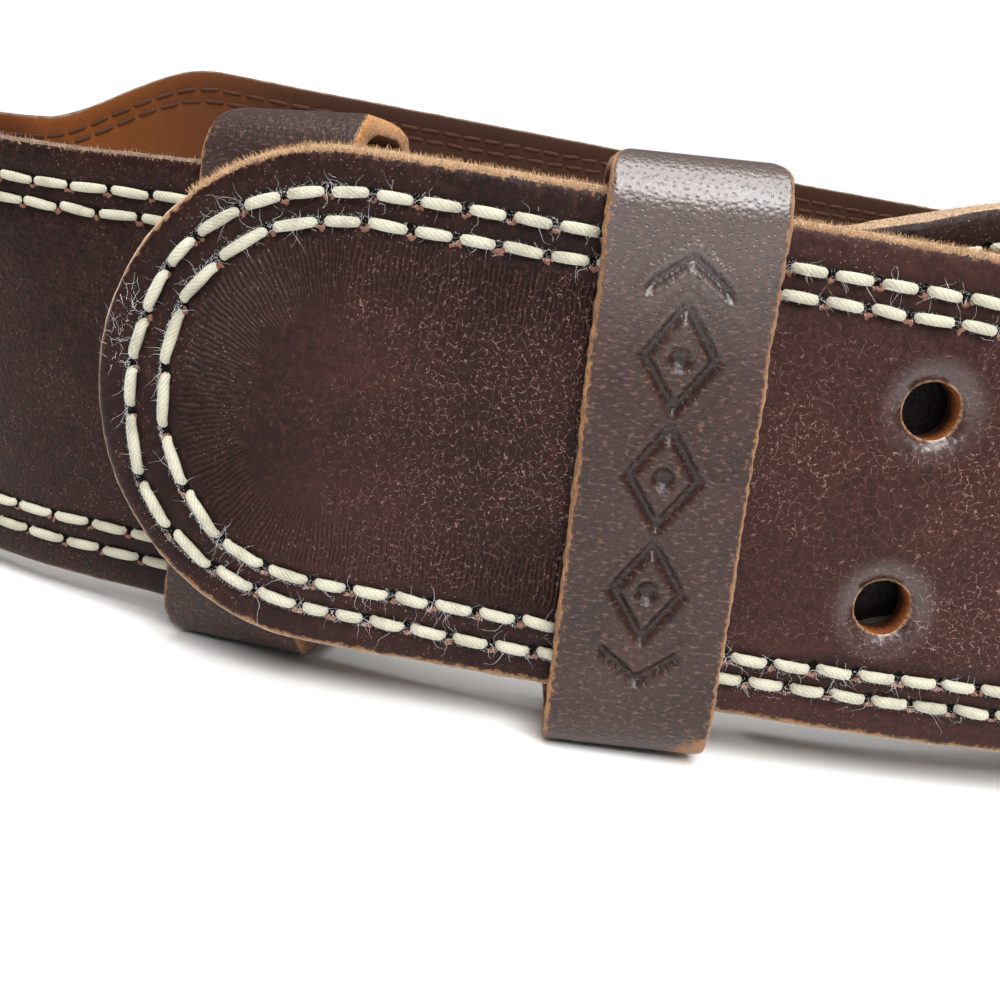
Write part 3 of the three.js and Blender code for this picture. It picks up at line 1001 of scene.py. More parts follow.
def laidFlat(column, row):
    # distance along, height across and distance from the nearest edge, for grid numbers
    steps = np.arange(len(columnDistances))
    distance = np.interp(column, steps, columnDistances)
    height = np.interp(row, np.arange(len(rowHeights)), rowHeights)
    half = widthAt(distance) / 2
    narrow = strapShape["front"] / 2
    band = strapGrid["edgeSteps"][-1]
    stretched = height * (half - band) / (narrow - band)
    fromEdge = narrow - np.abs(height)
    across = np.where(fromEdge < band, np.sign(height) * (half - fromEdge), stretched)
    # the tip: squares of the grid become arcs
    ahead = np.maximum(distance - tipStart, 0)
    inTip = ahead > 0
    reach = np.maximum(np.maximum(ahead, np.abs(height)), 1e-9)
    turn = np.where(
        ahead > np.abs(height),
        height / reach * math.pi / 4,
        np.sign(height) * (math.pi / 2 - ahead / reach * math.pi / 4),
    )
    distance = np.where(inTip, tipStart + reach * np.cos(turn), distance)
    across = np.where(inTip, reach * np.sin(turn), across)
    fromEdge = np.where(inTip, tipRadius - reach, fromEdge)
    fromEdge = np.minimum(fromEdge, distance)  # the flap's square end
    return distance, across, fromEdge


# punch the holes: the block of squares round each one goes
blockSize = strapGrid["blockCell"] * strapGrid["blockCells"] / 2
holeCentres = [
    (routeLength - fromTip, rowHeight)
    for fromTip in strapShape["holesFromTip"]
    for rowHeight in strapShape["holeRows"]
]
column, row = gridIndex(faceCentres(strap))
distance, height, _ = laidFlat(column, row)
punched = np.zeros(len(column), dtype=bool)
for holeDistance, holeHeight in holeCentres:
    besideHole = np.maximum(np.abs(distance - holeDistance), np.abs(height - holeHeight))
    punched |= besideHole < blockSize
deleteFaces(strap, punched)
print("holes punched:", len(holeCentres), "with", int(punched.sum()), "squares")

applyModifier(strap, "SOLIDIFY", thickness=1.0, offset=-1.0)
bisectAll(strap, [((0, 0, level), (0, 0, 1)) for level in (-0.3, -0.7)])

# lay the grid out to size
unit = vertexPlaces(strap)
column, row = gridIndex(unit)
share = np.clip(-unit[:, 2], 0, 1)  # 0 on the outer face, 1 on the inner one
distance, across, fromEdge = laidFlat(column, row)
fromHole = np.full(len(unit), 99.0)
for holeDistance, holeHeight in holeCentres:
    alongHole = distance - holeDistance
    upHole = across - holeHeight
    square = np.maximum(np.abs(alongHole), np.abs(upHole))
    near = square < blockSize + 5.0
    blendOut = 1 - smooth((square[near] - blockSize) / 4.9)
    radius = np.hypot(alongHole[near], upHole[near])
    uneven = 1 + 0.02 * np.sin(3 * np.arctan2(upHole[near], alongHole[near]) + holeDistance)
    ringRadius = square[near] - blockSize + strapGrid["holeInside"] * uneven
    scale = 1 + (ringRadius / radius - 1) * blendOut
    distance[near] = holeDistance + alongHole[near] * scale
    across[near] = holeHeight + upHole[near] * scale
    moved = np.hypot(distance[near] - holeDistance, across[near] - holeHeight)
    fromHole[near] = moved - strapGrid["holeInside"]


def roundedDrop(inward, reach, drop):
    # how far a rounded edge falls away, at a distance inward from it
    t = np.clip(1 - inward / reach, 0, 1)
    return drop * (1 - np.sqrt(np.clip(1 - t**2.3, 0, 1)))


def underTongue(distance, across):
    # 1 where the tongue lies over the body, which is painted dark there as the shade under the
    # tongue
    under = smooth((distance - bodyUnder[0]) / 8) * (1 - smooth((distance - bodyUnder[1]) / 8))
    return under * smooth((20 - across) / 4)


thickness = thicknessAt(distance)
edgeDrop = roundedDrop(fromEdge, strapGrid["edgeRound"], strapGrid["edgeDrop"])
edgeDrop = np.minimum(edgeDrop, thickness / 3)
holeDrop = roundedDrop(np.maximum(fromHole, 0), strapGrid["lipReach"], strapGrid["lipDrop"])
outerDepth = edgeDrop + holeDrop
innerDepth = thickness - edgeDrop - 0.4 * holeDrop
depth = outerDepth + (innerDepth - outerDepth) * share

# the seams press two grooves into both faces
edgeRun = runBeside(distance, across)
sewnShare = smooth((distance - seamShape["start"]) / 4)
groove = np.zeros(len(unit))
seamPhases = []
seamAways = []
for seamRow in (0, 1):
    away = fromEdge - seamOffset(seamRow, edgeRun)
    groove += sewnShare * np.exp(-((away / seamShape["grooveWidth"]) ** 2))
    seamAways.append(np.where(sewnShare > 0.1, away, 9.0))
    holeRuns = seamHoleRuns[seamRow]
    seamPhases.append(np.interp(edgeRun, holeRuns, np.arange(len(holeRuns))))
facing = np.where(share < 0.01, 1.0, np.where(share > 0.99, -1.0, 0.0))  # 1 on the outer face
depth += groove * seamShape["grooveDepth"] * facing

# worn faces are never quite flat, and a cut edge is ragged
flatSpot = np.stack([distance, across, share * 30], axis=1)
swell = facing * bumpyAt(flatSpot, wearShape["swellSize"]) * wearShape["swell"]
depth += swell * smooth((fromEdge - 2) / 4)
onEdge = np.clip(1 - fromEdge / wearShape["raggedReach"], 0, 1) * (distance > 3)
fineSize, coarseSize = wearShape["raggedSizes"]
ragged = bumpyAt(flatSpot, fineSize) * wearShape["ragged"]
ragged += bumpyAt(flatSpot + 40, coarseSize) * wearShape["ragged"]
outX = np.where(distance > tipStart, distance - tipStart, 0)
outY = np.where(distance > tipStart, across, np.sign(across))
outLength = np.maximum(np.hypot(outX, outY), 1e-9)
distance = distance + onEdge * ragged * outX / outLength
across = across + onEdge * ragged * outY / outLength

placed = onStrap(distance, across, depth)
placed[:, 2] = np.maximum(placed[:, 2], 0)
moveVertices(strap, placed * mm)
flipNormals(strap)  # the route turns the flat strap over

# how each part is worn, which the leather's materials read
tipShare = smooth((distance - routeLength + strapShape["tipPart"]) / 12)
rubbed = wearShape["rubbed"] * smooth((distance - wearShape["rubbedStart"]) / 40)
rubbed *= 1 - tipShare
for fromTip, heightUp, reach, amount in wearShape["patches"]:
    away = np.hypot(distance - routeLength + fromTip, across - heightUp)
    rubbed = np.maximum(rubbed, amount * np.exp(-((away / reach) ** 2)))
upness = np.where(distance > tipStart, across / tipRadius, np.sign(across))  # 1 on the upper edge
onTongue = smooth((distance - strapShape["tongueStart"]) / 60)
rawShare = 0.15 + 0.75 * onTongue * smooth((upness + 0.1) / 0.5)
rawShare += 0.4 * onTongue * smooth((-upness - 0.1) / 0.5)
rawShare += 1.1 * (distance < 150) * (across > 0)
wearWidth = onTongue * (0.1 + 0.4 * smooth((upness - 0.2) / 0.5))
wearWidth += onTongue * 0.45 * smooth((-0.5 - upness) / 0.4)
fromTip = routeLength - distance
cracked = 0.15 + 0.95 * smooth((fromTip - 18) / 38) + 0.25 * smooth((fromTip - 90) / 20)
cracked = np.where(fromTip < 400, cracked, 0.22)
for name, values in (
    ("edge_distance", fromEdge), ("hole_distance", fromHole),
    ("height_across", across), ("distance_along", distance),
    ("seam_away_outer", seamAways[0]), ("seam_away_inner", seamAways[1]),
    ("seam_phase_outer", seamPhases[0]), ("seam_phase_inner", seamPhases[1]),
    ("tongue_share", tipShare), ("rubbed_share", rubbed),
    # round the holes this falls from the outer face inwards, painting the wall darker with depth as
    # shade
    ("raw_share_and_wall_shade", np.where(fromHole < 3, 1.1 - 1.5 * share, rawShare)),
    ("edge_wear", wearWidth), ("crack_share", cracked),
    ("covered", underTongue(distance, across) * wearShape["covered"]),
):
    pointAttribute(strap, name, values)


def meanOfFaces(piece, values):
    # each face's mean of a value that its corners have
    corners = np.zeros(len(piece.data.loops), dtype=np.int32)
    piece.data.loops.foreach_get("vertex_index", corners)
    starts = np.zeros(len(piece.data.polygons), dtype=np.int32)
    piece.data.polygons.foreach_get("loop_start", starts)
    sizes = np.zeros(len(piece.data.polygons), dtype=np.int32)
    piece.data.polygons.foreach_get("loop_total", sizes)
    return np.add.reduceat(values[corners], starts) / sizes


for material in (grainLeather, cutLeather, fleshLeather, holeLeather):
    strap.data.materials.append(material)
faceShare = meanOfFaces(strap, share)
faceEdge = meanOfFaces(strap, np.minimum(fromEdge, 50))
faceHole = meanOfFaces(strap, np.minimum(fromHole, 50))
# slot 0 is the grain, 1 the cut edges, 2 the flesh side and 3 the walls of the holes
slots = np.where(faceShare > 0.9, 2, 0)
slots = np.where((faceShare > 0.1) & (faceShare < 0.9), 1, slots)
slots = np.where(faceEdge < 0.6, 1, slots)
slots = np.where((slots == 1) & (faceHole < 2), 3, slots)
strap.data.polygons.foreach_set("material_index", slots.astype(np.int32))
shadeSmooth(strap, 60)
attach(strap, "root")
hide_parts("strap")
print("strap:", len(strap.data.polygons), "faces")


# The thread: a stitch of finely twisted linen that rises out of one needle hole and dives into
# the next, repeated along both rows and both faces

stitchShape = {
    "radius": 0.76,
    "sides": 8,
    "plies": 7,  # fine strands that wind round it
    "plyLength": 0.75,  # mm of thread from one strand to the next
    "bend": 0.85,  # radius of the bend into the needle hole
    "dive": 0.5,  # on down into the hole
    "rise": 0.3,  # of the thread's middle above the face
    "middle": 2,  # rings between the two bends
    "slim": 0.16,  # how much thinner it is at its ends
    "flat": 0.92,  # its height against its width
    "slant": 1.5,  # degrees off the row
    "uneven": 2.2,  # and how much that differs from one stitch to the next
}


def stitchRings(length, shape):
    # a stitch's path from hole to hole: place along it, height, direction and run, a ring a row
    bend, dive = shape["bend"], shape["dive"]
    straight = length - 2 * bend
    arc = bend * math.pi / 2
    total = 2 * dive + 2 * arc + straight
    ends = np.array([0, dive, dive + arc * 0.55, dive + arc])
    between = np.linspace(ends[-1], total - ends[-1], shape["middle"] + 2)[1:-1]
    run = np.concatenate([ends, between, total - ends[::-1]])
    back = total - run
    rising = run < total / 2
    near = np.where(rising, run, back)
    angle = np.clip((near - dive) / bend, 0, math.pi / 2)
    along = -length / 2 + bend * (1 - np.cos(angle)) + np.maximum(near - dive - arc, 0)
    height = bend * (np.sin(angle) - 1) - np.maximum(dive - near, 0)
    lean = np.where(rising, math.pi / 2 - angle, angle - math.pi / 2)
    return np.where(rising, along, -along), height, lean, run


def stitchPoints(length, shape):
    # points of one stitch: along, across and height over the middle of its straight part, and
    # at each the count of strands passed, which runs on round the thread and along it
    along, height, lean, run = stitchRings(length, shape)
    sides = shape["sides"]
    corner = np.arange(sides) / sides
    angle = (2 * math.pi * corner - math.pi * (0.5 + 1 / sides))[None, :]
    slim = 1 - shape["slim"] * (2 * np.abs(along) / length) ** 2
    radius = (shape["radius"] * slim)[:, None]
    sideways = radius * np.cos(angle)
    upward = radius * np.sin(angle) * shape["flat"]
    x = along[:, None] - upward * np.sin(lean)[:, None]
    z = height[:, None] + upward * np.cos(lean)[:, None]
    phase = shape["plies"] * corner[None, :] + run[:, None] / shape["plyLength"]
    return np.stack([x, sideways, z], axis=-1).reshape(-1, 3), phase.ravel()


def capFaces(rings, sides):
    # the quads that close both ends of a tube with an even number of sides
    last = (rings - 1) * sides
    first = [(0, side + 2, side + 1, side) for side in range(1, sides - 2, 2)]
    return first + [tuple(last + corner for corner in face[::-1]) for face in first]


def ringFaces(rings, sides):
    # the quads of a tube of rings
    faces = []
    for ring in range(rings - 1):
        for side in range(sides):
            a = ring * sides + side
            b = ring * sides + (side + 1) % sides
            faces.append((a, b, b + sides, a + sides))
    return np.array(faces)


def sewRow(name, seamRow, shape, inside, material):
    # every stitch of one row on one face, joined as one mesh
    runs = seamHoleRuns[seamRow]
    holes = np.stack(besideEdge(runs, seamOffset(seamRow, runs)), axis=1)
    rings = shape["middle"] + 8
    faces = np.vstack([ringFaces(rings, shape["sides"]), capFaces(rings, shape["sides"])])
    allPoints = []
    allPhases = []
    allFlat = []
    for start, end in zip(holes[:-1], holes[1:]):
        chord = end - start
        reach = np.linalg.norm(chord)
        forward = chord / reach
        slant = math.radians(shape["slant"] + seeded.normal(0, shape["uneven"]))
        rise = shape["rise"] + seeded.normal(0, 0.05)
        length = reach - seamShape["gap"] - 2 * shape["radius"] * (1 - shape["slim"])
        points, phases = stitchPoints(length, shape)
        forward = np.array([
            forward[0] * math.cos(slant) - forward[1] * math.sin(slant),
            forward[0] * math.sin(slant) + forward[1] * math.cos(slant),
        ])
        side = np.array([-forward[1], forward[0]])
        flat = (start + end) / 2 + points[:, :1] * forward + points[:, 1:2] * side
        above = points[:, 2] + rise
        below = thicknessAt(flat[:, 0]) + above if inside else -above
        allPoints.append(onStrap(flat[:, 0], flat[:, 1], below))
        allPhases.append(phases + seeded.uniform(0, 1))
        allFlat.append(flat)
    count = len(allPoints)
    offsets = np.arange(count) * len(allPoints[0])
    allFaces = (faces[None, :, :] + offsets[:, None, None]).reshape(-1, 4)
    if not inside:
        allFaces = allFaces[:, ::-1]
    thread = pieceFromArrays(name, np.vstack(allPoints) * mm, allFaces)
    distance, across = np.concatenate(allFlat).T
    pointAttribute(thread, "ply_phase", np.concatenate(allPhases))
    # stitches on the outer face are painted near black under the tongue, a painted shade
    threadShadeUnderTongue = 0.0 if inside else 0.95
    pointAttribute(thread, "covered", underTongue(distance, across) * threadShadeUnderTongue)
    thread.data.materials.append(material)
    shadeSmooth(thread, 80)
    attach(thread, "root")
    print(name, count, "stitches,", len(allFaces), "faces")
    return thread


plainStitch = {**stitchShape, "sides": 6, "middle": 1, "radius": 0.6, "rise": 0.0}
sewRow("thread_outer_row", 0, stitchShape, False, threadMaterial)
sewRow("thread_inner_row", 1, stitchShape, False, threadMaterial)
sewRow("thread_outer_row_inside", 0, plainStitch, True, innerThread)
sewRow("thread_inner_row_inside", 1, plainStitch, True, innerThread)


# Torn leather: a few raised crumbs at the lower side of each needle hole

tornShape = {
    "perHole": 6,
    "long": 0.62,  # half sizes of the largest crumb
    "wide": 0.36,
    "high": 0.3,
    "sizes": (0.25, 0.95),
    "sunk": 0.12,
    "below": 0.85,  # how far their middle lies from the hole
}


def tearHoles():
    deselectAll()
    bpy.ops.mesh.primitive_ico_sphere_add(subdivisions=1, radius=1)
    crumb = bpy.context.object
    shape = vertexPlaces(crumb)
    corners = np.array([list(face.vertices) for face in crumb.data.polygons])
    bpy.data.objects.remove(crumb)
    allPoints = []
    for seamRow in (0, 1):
        runs = seamHoleRuns[seamRow]
        holes = np.stack(besideEdge(runs, seamOffset(seamRow, runs)), axis=1)
        for holeDistance, holeHeight in np.repeat(holes, tornShape["perHole"], axis=0):
            size = seeded.uniform(*tornShape["sizes"])
            points = shape * (1 + seeded.normal(0, 0.25, shape.shape))
            turn = seeded.uniform(0, math.pi)
            x = points[:, 0] * tornShape["long"] * size
            y = points[:, 1] * tornShape["wide"] * size
            heading = seeded.normal(-math.pi / 2 - 0.35, 0.5)
            away = tornShape["below"] * seeded.uniform(0.85, 1.15)
            flatX = holeDistance + x * math.cos(turn) - y * math.sin(turn) + away * math.cos(heading)
            flatY = holeHeight + x * math.sin(turn) + y * math.cos(turn) + away * math.sin(heading)
            up = points[:, 2] * tornShape["high"] * size - tornShape["sunk"]
            allPoints.append(onStrap(flatX, flatY, -up))
    offsets = np.arange(len(allPoints)) * len(shape)
    allFaces = (corners[None, :, :] + offsets[:, None, None]).reshape(-1, 3)
    torn = pieceFromArrays("torn_needle_holes", np.vstack(allPoints) * mm, allFaces[:, ::-1])
    torn.data.materials.append(tornMaterial)
    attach(torn, "root")
    print("torn needle holes:", len(allPoints))


tearHoles()


# Loose fibres: thin three-sided strands that wander as they grow

def growStrands(name, roots, directions, fibre, material):
    # roots and directions in mm; each strand is a tapering tube of a few steps
    count = len(roots)
    steps = fibre["steps"]
    lengths = seeded.uniform(*fibre["length"], count)
    heading = directions / np.linalg.norm(directions, axis=1)[:, None]
    places = [roots]
    headings = [heading]
    for step in range(steps):
        heading = heading + seeded.normal(0, fibre["curl"], (count, 3))
        heading /= np.linalg.norm(heading, axis=1)[:, None]
        places.append(places[-1] + heading * (lengths / steps)[:, None])
        headings.append(heading)
    sideways = np.cross(headings[0], seeded.normal(0, 1, (count, 3)))
    sideways /= np.linalg.norm(sideways, axis=1)[:, None]
    rings = []
    for step in range(steps + 1):
        other = np.cross(headings[step], sideways)
        width = fibre["thickness"] / 2 * (1 - 0.75 * step / steps)
        for side in range(3):
            angle = 2 * math.pi * side / 3
            rings.append(
                places[step] + width * (math.cos(angle) * sideways + math.sin(angle) * other)
            )
    points = np.stack(rings, axis=1)  # count, rings x 3, xyz
    faces = ringFaces(steps + 1, 3)
    offsets = np.arange(count) * 3 * (steps + 1)
    allFaces = (faces[None, :, :] + offsets[:, None, None]).reshape(-1, 4)
    ends = np.array([(0, 2, 1), (3 * steps, 3 * steps + 1, 3 * steps + 2)])
    allEnds = (ends[None, :, :] + offsets[:, None, None]).reshape(-1, 3)
    strands = pieceFromArrays(name, points.reshape(-1, 3) * mm, allFaces, allEnds)
    strands.data.materials.append(material)
    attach(strands, "root")
    print(name, count, "strands")
    return strands


# lengths and thicknesses in mm; curl is how much a strand turns at each of its steps
edgeFibre = {
    "count": 24500,
    "length": (0.25, 0.9),
    "thickness": 0.075,
    "curl": 0.25,
    "steps": 1,
    "onTongue": 0.94,  # the share of them that grows on the tongue
    "tongueStart": 1090.0,
    "pastTip": 24.0,  # how far they go on round the tip
    "body": (90, 260),  # and where the rest grow on the body
    "inset": (-0.05, 1.0),
    "onCut": (1.2, 4.4),  # depth of the ones that grow out of the cut itself
}
linenFibreShape = {
    "count": 800,
    "length": (0.8, 4.4),
    "thickness": 0.036,
    "curl": 0.3,
    "steps": 7,
    "pastTip": 90.0,  # how far from the tip's curve they are found
    "tuftCount": 44,  # more of them, pulled out where the tip is rubbed most
    "tuftPlace": (38.0, 52.0),  # along the edge from where the tip's curve starts
    "tuftInset": (1.5, 6),
}
threadNap = {
    "count": 20000,
    "length": (0.1, 0.38),
    "thickness": 0.025,
    "curl": 0.2,
    "steps": 1,
    "tongueStart": 1090.0,
    "pastTip": 130.0,
}


def fuzzUpperEdge():
    # torn leather fibres along the upper edge, dense on the tongue
    shape = edgeFibre
    count = shape["count"]
    tongueEnd = tipStart + shape["pastTip"]
    tongue = seeded.uniform(shape["tongueStart"], tongueEnd, int(count * shape["onTongue"]))
    body = seeded.uniform(*shape["body"], count - len(tongue))
    run = np.concatenate([tongue, body])
    inset = seeded.uniform(*shape["inset"], count)
    distance, across = besideEdge(run, inset)
    thickness = thicknessAt(distance)
    rounded = roundedDrop(np.maximum(inset, 0), strapGrid["edgeRound"], strapGrid["edgeDrop"])
    drop = np.minimum(rounded, thickness / 3)
    outside = seeded.uniform(0, 1, count) < 0.5
    between = seeded.uniform(*shape["onCut"], count)
    depth = np.where(inset < 0.15, between, np.where(outside, drop, thickness - drop))
    depth = np.minimum(depth, thickness - 0.3)
    roots = onStrap(distance, across, depth)
    ahead = onStrap(*besideEdge(run, inset - 0.5), depth)
    outward = (ahead - roots) * 2
    lean = onStrap(distance, across, depth - 1) - roots
    away = np.where(depth < thickness / 2, 0.35, -0.25)[:, None] * lean
    directions = outward + away + seeded.normal(0, 0.4, (count, 3))
    growStrands("cut_edge_fibres", roots, directions, shape, leatherFibre)


def besideSeams(start, end, count):
    # places on the strap along both rows, for runs drawn at random
    rows = []
    for seamRow in (0, 1):
        run = seeded.uniform(start, end, count // 2)
        rows.append(np.stack(besideEdge(run, seamOffset(seamRow, run)), axis=1))
    return np.vstack(rows)


def fuzzSeams():
    # loose ends of the linen, round the tip and a little way along the tongue
    shape = linenFibreShape
    reach = shape["pastTip"]
    alongRows = besideSeams(tipStart - reach, tipStart + tipArc + reach, shape["count"])
    tuft = tipStart + seeded.uniform(*shape["tuftPlace"], shape["tuftCount"])
    inset = seeded.uniform(*shape["tuftInset"], len(tuft))
    flat = np.vstack([alongRows, np.stack(besideEdge(tuft, inset), axis=1)])
    flat[:, 1] += seeded.normal(0, 0.5, len(flat))
    roots = onStrap(flat[:, 0], flat[:, 1], np.full(len(flat), -0.7))
    outward = onStrap(flat[:, 0], flat[:, 1], np.full(len(flat), -1.7)) - roots
    directions = outward * 0.35 + seeded.normal(0, 0.6, (len(flat), 3))
    growStrands("linen_fibres", roots, directions, shape, linenFibre)


def fuzzStitches():
    # the short nap that stands off the thread itself
    shape = threadNap
    tongueEnd = tipStart + tipArc + shape["pastTip"]
    flat = besideSeams(shape["tongueStart"], tongueEnd, shape["count"])
    side = seeded.uniform(-1, 1, len(flat))
    flat[:, 1] += side * 0.7
    height = 0.36 + 0.75 * np.sqrt(np.clip(1 - side**2, 0, 1))
    roots = onStrap(flat[:, 0], flat[:, 1], -height)
    ahead = onStrap(flat[:, 0], flat[:, 1] + side, -height - 0.6) - roots
    directions = ahead + seeded.normal(0, 0.4, (len(flat), 3))
    growStrands("thread_nap", roots, directions, shape, linenFibre)


fuzzUpperEdge()
fuzzSeams()
fuzzStitches()


# The keepers: a band bent round from a box without its ends, given its thickness, its
# trimmed edges and its lean

keeperShape = {
    "thickness": 3.0,
    "depth": 19.2,
    "corner": 7.4,
    "edgeRound": 0.7,
    "pared": 2.4,  # how much narrower each side is at the upper and lower folds
    "crumb": 0.22,  # how far the cut sides wander, finely and coarsely
    "crumbSize": 1.1,
    "wander": 0.25,
    "wanderSize": 6.0,
    "swell": 0.22,  # the front is never quite flat
    "swellSize": 14.0,
}
# lean, slant and turn are in degrees, and cell is the mesh's size. Worn is how raw the band's lower
# right corner is, and the last figure how much it is glazed and how much painted glare lightens its
# upper part.
keeperPlaces = {
    "keeper_front": {
        "x": -10.8, "y": -146.3, "turn": 0, "width": 22.0, "height": 78.4, "lean": 3, "slant": 0,
        "cell": 0.4, "tooled": True, "worn": 1, "glazeAndGlare": 1.0,
    },
    "keeper_rear": {
        "x": -63.9, "y": -131.8, "turn": -16.7, "width": 22.5, "height": 77.2, "lean": 0,
        "slant": 4, "cell": 1.1, "tooled": False, "worn": 0, "glazeAndGlare": 0.25,
    },
}
tooling = {
    "lozenges": [-15.0, 0.0, 15.0],  # heights of the pressed lozenges' middles
    "lozengeWide": 4.4,
    "lozengeHigh": 6.3,
    "chevrons": [-25.5, 25.5],
    "chevronWide": 4.6,
    "chevronSlope": 0.75,
    "dotRadius": 0.7,
    "lineWidth": 0.66,
    "deep": 0.8,
    "raised": 0.22,  # the leather that the tool pushed up beside its line
}


def toolingDepth(x, z):
    # a plain pattern: a row of lozenges with a dot in each, and a chevron above and below
    nearest = np.full(len(x), 9.0)
    wide, high = tooling["lozengeWide"], tooling["lozengeHigh"]
    toLine = wide * high / math.hypot(wide, high)
    for middle in tooling["lozenges"]:
        fromMiddle = np.abs(x) / wide + np.abs(z - middle) / high
        nearest = np.minimum(nearest, np.abs(fromMiddle - 1) * toLine)
        fromDot = np.maximum(np.hypot(x, z - middle) - tooling["dotRadius"], 0)
        nearest = np.minimum(nearest, fromDot)
    for middle in tooling["chevrons"]:
        rise = (z - middle) * np.sign(middle)
        arm = np.abs(rise + np.abs(x) * tooling["chevronSlope"] - 1.5) * 0.8
        past = np.maximum(np.abs(x) - tooling["chevronWide"], 0)
        nearest = np.minimum(nearest, np.hypot(arm, past))
    pressed = tooling["deep"] * np.exp(-((nearest / tooling["lineWidth"]) ** 2))
    raised = tooling["raised"] * np.exp(-(((nearest - 1.25) / 0.45) ** 2))
    return pressed - raised


def makeKeeper(node, place):
    width, depthOut, height = place["width"], keeperShape["depth"], place["height"]
    deselectAll()
    bpy.ops.mesh.primitive_cube_add(size=1)
    keeper = bpy.context.object
    keeper.name = node + "_leather"
    bpy.ops.object.mode_set(mode="EDIT")
    bpy.ops.mesh.select_all(action="SELECT")
    bpy.ops.transform.resize(value=(width, depthOut, height))
    bpy.ops.object.mode_set(mode="OBJECT")
    # without the two ends it is a square tube
    deleteFaces(keeper, np.abs(faceCentres(keeper)[:, 0]) > width * 0.4)
    # its four long folds
    bpy.ops.object.mode_set(mode="EDIT")
    bpy.ops.mesh.select_mode(type="EDGE")
    bpy.ops.mesh.select_all(action="DESELECT")
    bpy.ops.object.mode_set(mode="OBJECT")
    corners = vertexPlaces(keeper)
    for edge in keeper.data.edges:
        a, b = corners[edge.vertices[0]], corners[edge.vertices[1]]
        edge.select = bool(abs(a[0] - b[0]) > width * 0.5)
    bpy.ops.object.mode_set(mode="EDIT")
    bpy.ops.mesh.bevel(offset=keeperShape["corner"], offset_type="OFFSET", segments=14)
    bpy.ops.object.mode_set(mode="OBJECT")
    cell = place["cell"]
    flat = height / 2 - keeperShape["corner"]
    levels = np.linspace(-flat, flat, round(2 * flat / cell) + 1)[1:-1]
    inside = width / 2 - keeperShape["edgeRound"] - 0.15
    widths = np.linspace(-inside, inside, round(2 * inside / cell) + 1)
    cuts = [((0, 0, level), (0, 0, 1)) for level in levels]
    cuts += [((x, 0, 0), (1, 0, 0)) for x in widths]
    bisectAll(keeper, cuts)
    return keeper


def roundKeeper(y, z, high):
    # the way round the band, in mm from the middle of its front
    corner = keeperShape["corner"]
    flatZ, flatY = high - corner, keeperShape["depth"] / 2 - corner
    up = np.abs(z)
    quarter = corner * math.pi / 2
    way = np.where(up > flatZ, flatZ + quarter + y + flatY, up)
    front = (y < -flatY) & (up > flatZ)
    way = np.where(front, flatZ + corner * np.arctan2(up - flatZ, -(y + flatY)), way)
    back = (y > flatY) & (up > flatZ)
    folded = flatZ + quarter + 2 * flatY
    way = np.where(back, folded + corner * np.arctan2(y - flatY, up - flatZ), way)
    way = np.where((y > 0) & (up <= flatZ), folded + quarter + flatZ - up, way)
    return way * np.sign(z + 1e-6)


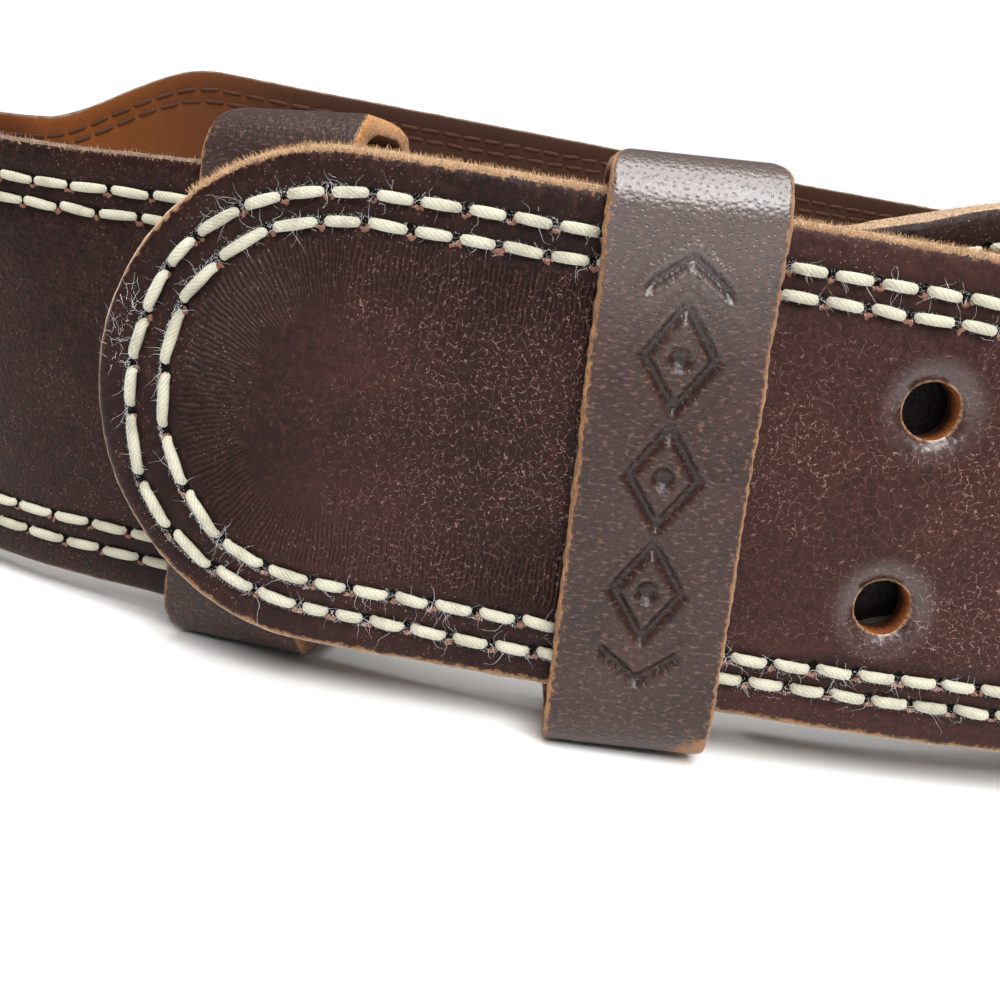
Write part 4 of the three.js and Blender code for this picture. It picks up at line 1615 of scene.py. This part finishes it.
for node, place in keeperPlaces.items():
    keeper = makeKeeper(node, place)
    for material in (keeperLeather, keeperCut, fleshLeather):
        keeper.data.materials.append(material)
    applyModifier(
        keeper, "SOLIDIFY", thickness=keeperShape["thickness"], offset=-1.0, use_even_offset=True,
        material_offset=2, material_offset_rim=1,
    )
    applyModifier(
        keeper, "BEVEL", width=keeperShape["edgeRound"], segments=3, limit_method="ANGLE",
        angle_limit=math.radians(60),
    )
    shape = vertexPlaces(keeper)
    fromCut = place["width"] / 2 - np.abs(shape[:, 0])
    front = shape[:, 1] < -keeperShape["depth"] / 2 + 1.0
    pressed = np.zeros(len(shape))
    if place["tooled"]:
        pressed = toolingDepth(shape[:, 0], shape[:, 2]) * smooth(fromCut / 2)
        pressed = np.where(front, pressed, 0)
        shape[:, 1] += pressed
    pointAttribute(keeper, "tooled_depth", np.clip(pressed / tooling["deep"], 0, 1) * 0.6)
    # the leather is pared round where it folds under and over
    high = place["height"] / 2
    past = np.clip((np.abs(shape[:, 2]) - high + keeperShape["pared"]) / keeperShape["pared"], 0, 1)
    narrower = keeperShape["pared"] * (1 - np.sqrt(1 - past**2 * 0.98))
    shape[:, 0] *= 1 - narrower / (place["width"] / 2)
    # hand-cut sides wander, and the cut is crumbly
    crumbs = bumpyAt(shape + 11, keeperShape["crumbSize"]) * keeperShape["crumb"]
    crumbs += bumpyAt(shape, keeperShape["wanderSize"]) * keeperShape["wander"]
    shape[:, 0] += np.sign(shape[:, 0]) * crumbs * np.clip(1 - fromCut / 1.2, 0, 1)
    swell = bumpyAt(shape + 70, keeperShape["swellSize"]) * keeperShape["swell"]
    shape[:, 1] += swell * np.where(front, 1, 0) * smooth(fromCut / 3)
    cornerGap = np.hypot(shape[:, 0] - place["width"] / 2, shape[:, 2] + place["height"] / 2)
    pointAttribute(keeper, "cut_distance", fromCut)
    pointAttribute(keeper, "glaze_and_glare_share", np.full(len(shape), place["glazeAndGlare"]))
    worn = np.clip(1.3 - cornerGap / 7, 0, 1.3) * place["worn"]
    pointAttribute(keeper, "worn_corner", worn)
    upward = shape[:, 2] / high
    raw = 0.4 if place["tooled"] else 0.25 + 0.95 * smooth(upward * 2)
    pointAttribute(keeper, "raw_share_and_wall_shade", raw * np.ones(len(shape)))
    pointAttribute(keeper, "distance_along", np.full(len(shape), 100.0))  # so its flesh side gets none of the painted shade of the belt's back
    pointAttribute(keeper, "height_across", shape[:, 0])
    pointAttribute(keeper, "distance_round", roundKeeper(shape[:, 1], shape[:, 2], high))

    shape[:, 2] += shape[:, 0] * math.tan(math.radians(place["slant"]))
    lean = Matrix.Rotation(math.radians(-place["lean"]), 3, "Y")
    turn = Matrix.Rotation(math.radians(place["turn"]), 3, "Z")
    shape = shape @ np.array(turn @ lean).T
    shape += np.array([place["x"], place["y"], -shape[:, 2].min()])
    moveVertices(keeper, shape * mm)
    shadeSmooth(keeper, 50)
    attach(keeper, "root")
    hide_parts(node)
    print(node, len(keeper.data.polygons), "faces")


# The buckle

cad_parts["buckle"].data.materials.clear()
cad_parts["buckle"].data.materials.append(nickelMaterial)


# Floor, light and camera

studio = {
    "floor": 1.7,  # metres
    "sky": "#ffffff",
    "skyStrength": 0.2,
    "key": {"place": (0.12, -0.8, 0.76), "size": (0.6, 0.5), "watts": 15},
    "fill": {"place": (0.9, -0.3, 0.9), "size": (0.6, 0.6), "watts": 3},
    "top": {"place": (-0.05, -0.3, 1.35), "size": (1.0, 0.7), "watts": 20},
    "aim": (0, -0.1, 0.05),
}
viewShape = {
    "camera": (-30.6, -288.2, 65.45),
    "yaw": 0.001,  # radians
    "pitch": 0.236,
    "roll": 0.159,
    "focalPixels": 1082,  # in a picture of 1000 pixels
    "sensor": 36,
}

deselectAll()
bpy.ops.mesh.primitive_plane_add(size=studio["floor"], location=(0, 0, 0))
floor = bpy.context.object
floor.name = "studio_floor"
floor.data.materials.append(floorMaterial)
floor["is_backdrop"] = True

world = bpy.data.worlds.new("studio")
world.use_nodes = True
# the backdrop is white to the eye, and lights the belt more softly than that
sky = world.node_tree.nodes["Background"]
sky.inputs["Color"].default_value = colourOf(studio["sky"])
seen = world.node_tree.nodes.new("ShaderNodeLightPath").outputs["Is Camera Ray"]
strength = world.node_tree.nodes.new("ShaderNodeMapRange")
strength.inputs["To Min"].default_value = studio["skyStrength"]  # where the camera doesn't see it
world.node_tree.links.new(seen, strength.inputs["Value"])
world.node_tree.links.new(strength.outputs["Result"], sky.inputs["Strength"])
bpy.context.scene.world = world


def softbox(name, facts, target):
    light = bpy.data.lights.new(name, "AREA")
    light.shape = "RECTANGLE"
    light.size, light.size_y = facts["size"]
    light.energy = facts["watts"]
    lamp = bpy.data.objects.new(name, light)
    bpy.context.scene.collection.objects.link(lamp)
    lamp.location = facts["place"]
    lamp.rotation_mode = "QUATERNION"
    aim = Vector(target) - Vector(facts["place"])
    lamp.rotation_quaternion = aim.to_track_quat("-Z", "Y")


for name in ("key", "fill", "top"):
    softbox(name + "_softbox", studio[name], studio["aim"])

camera = bpy.data.cameras.new("camera")
camera.sensor_width = viewShape["sensor"]
camera.lens = viewShape["sensor"] * viewShape["focalPixels"] / 1000
camera.clip_start = 0.005
camera.clip_end = 50
cameraObject = bpy.data.objects.new("camera", camera)
bpy.context.scene.collection.objects.link(cameraObject)
yaw, pitch, roll = viewShape["yaw"], viewShape["pitch"], viewShape["roll"]
forward = Vector(
    (math.sin(yaw) * math.cos(pitch), math.cos(yaw) * math.cos(pitch), -math.sin(pitch))
)
level = Vector((math.cos(yaw), -math.sin(yaw), 0))
above = level.cross(forward)
right = math.cos(roll) * level + math.sin(roll) * above
top = -math.sin(roll) * level + math.cos(roll) * above
turned = Matrix((right, top, -forward)).transposed().to_4x4()
cameraObject.matrix_world = Matrix.Translation(Vector(viewShape["camera"]) * mm) @ turned
bpy.context.scene.camera = cameraObject
bpy.context.scene.view_settings.view_transform = "Standard"

low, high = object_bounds()
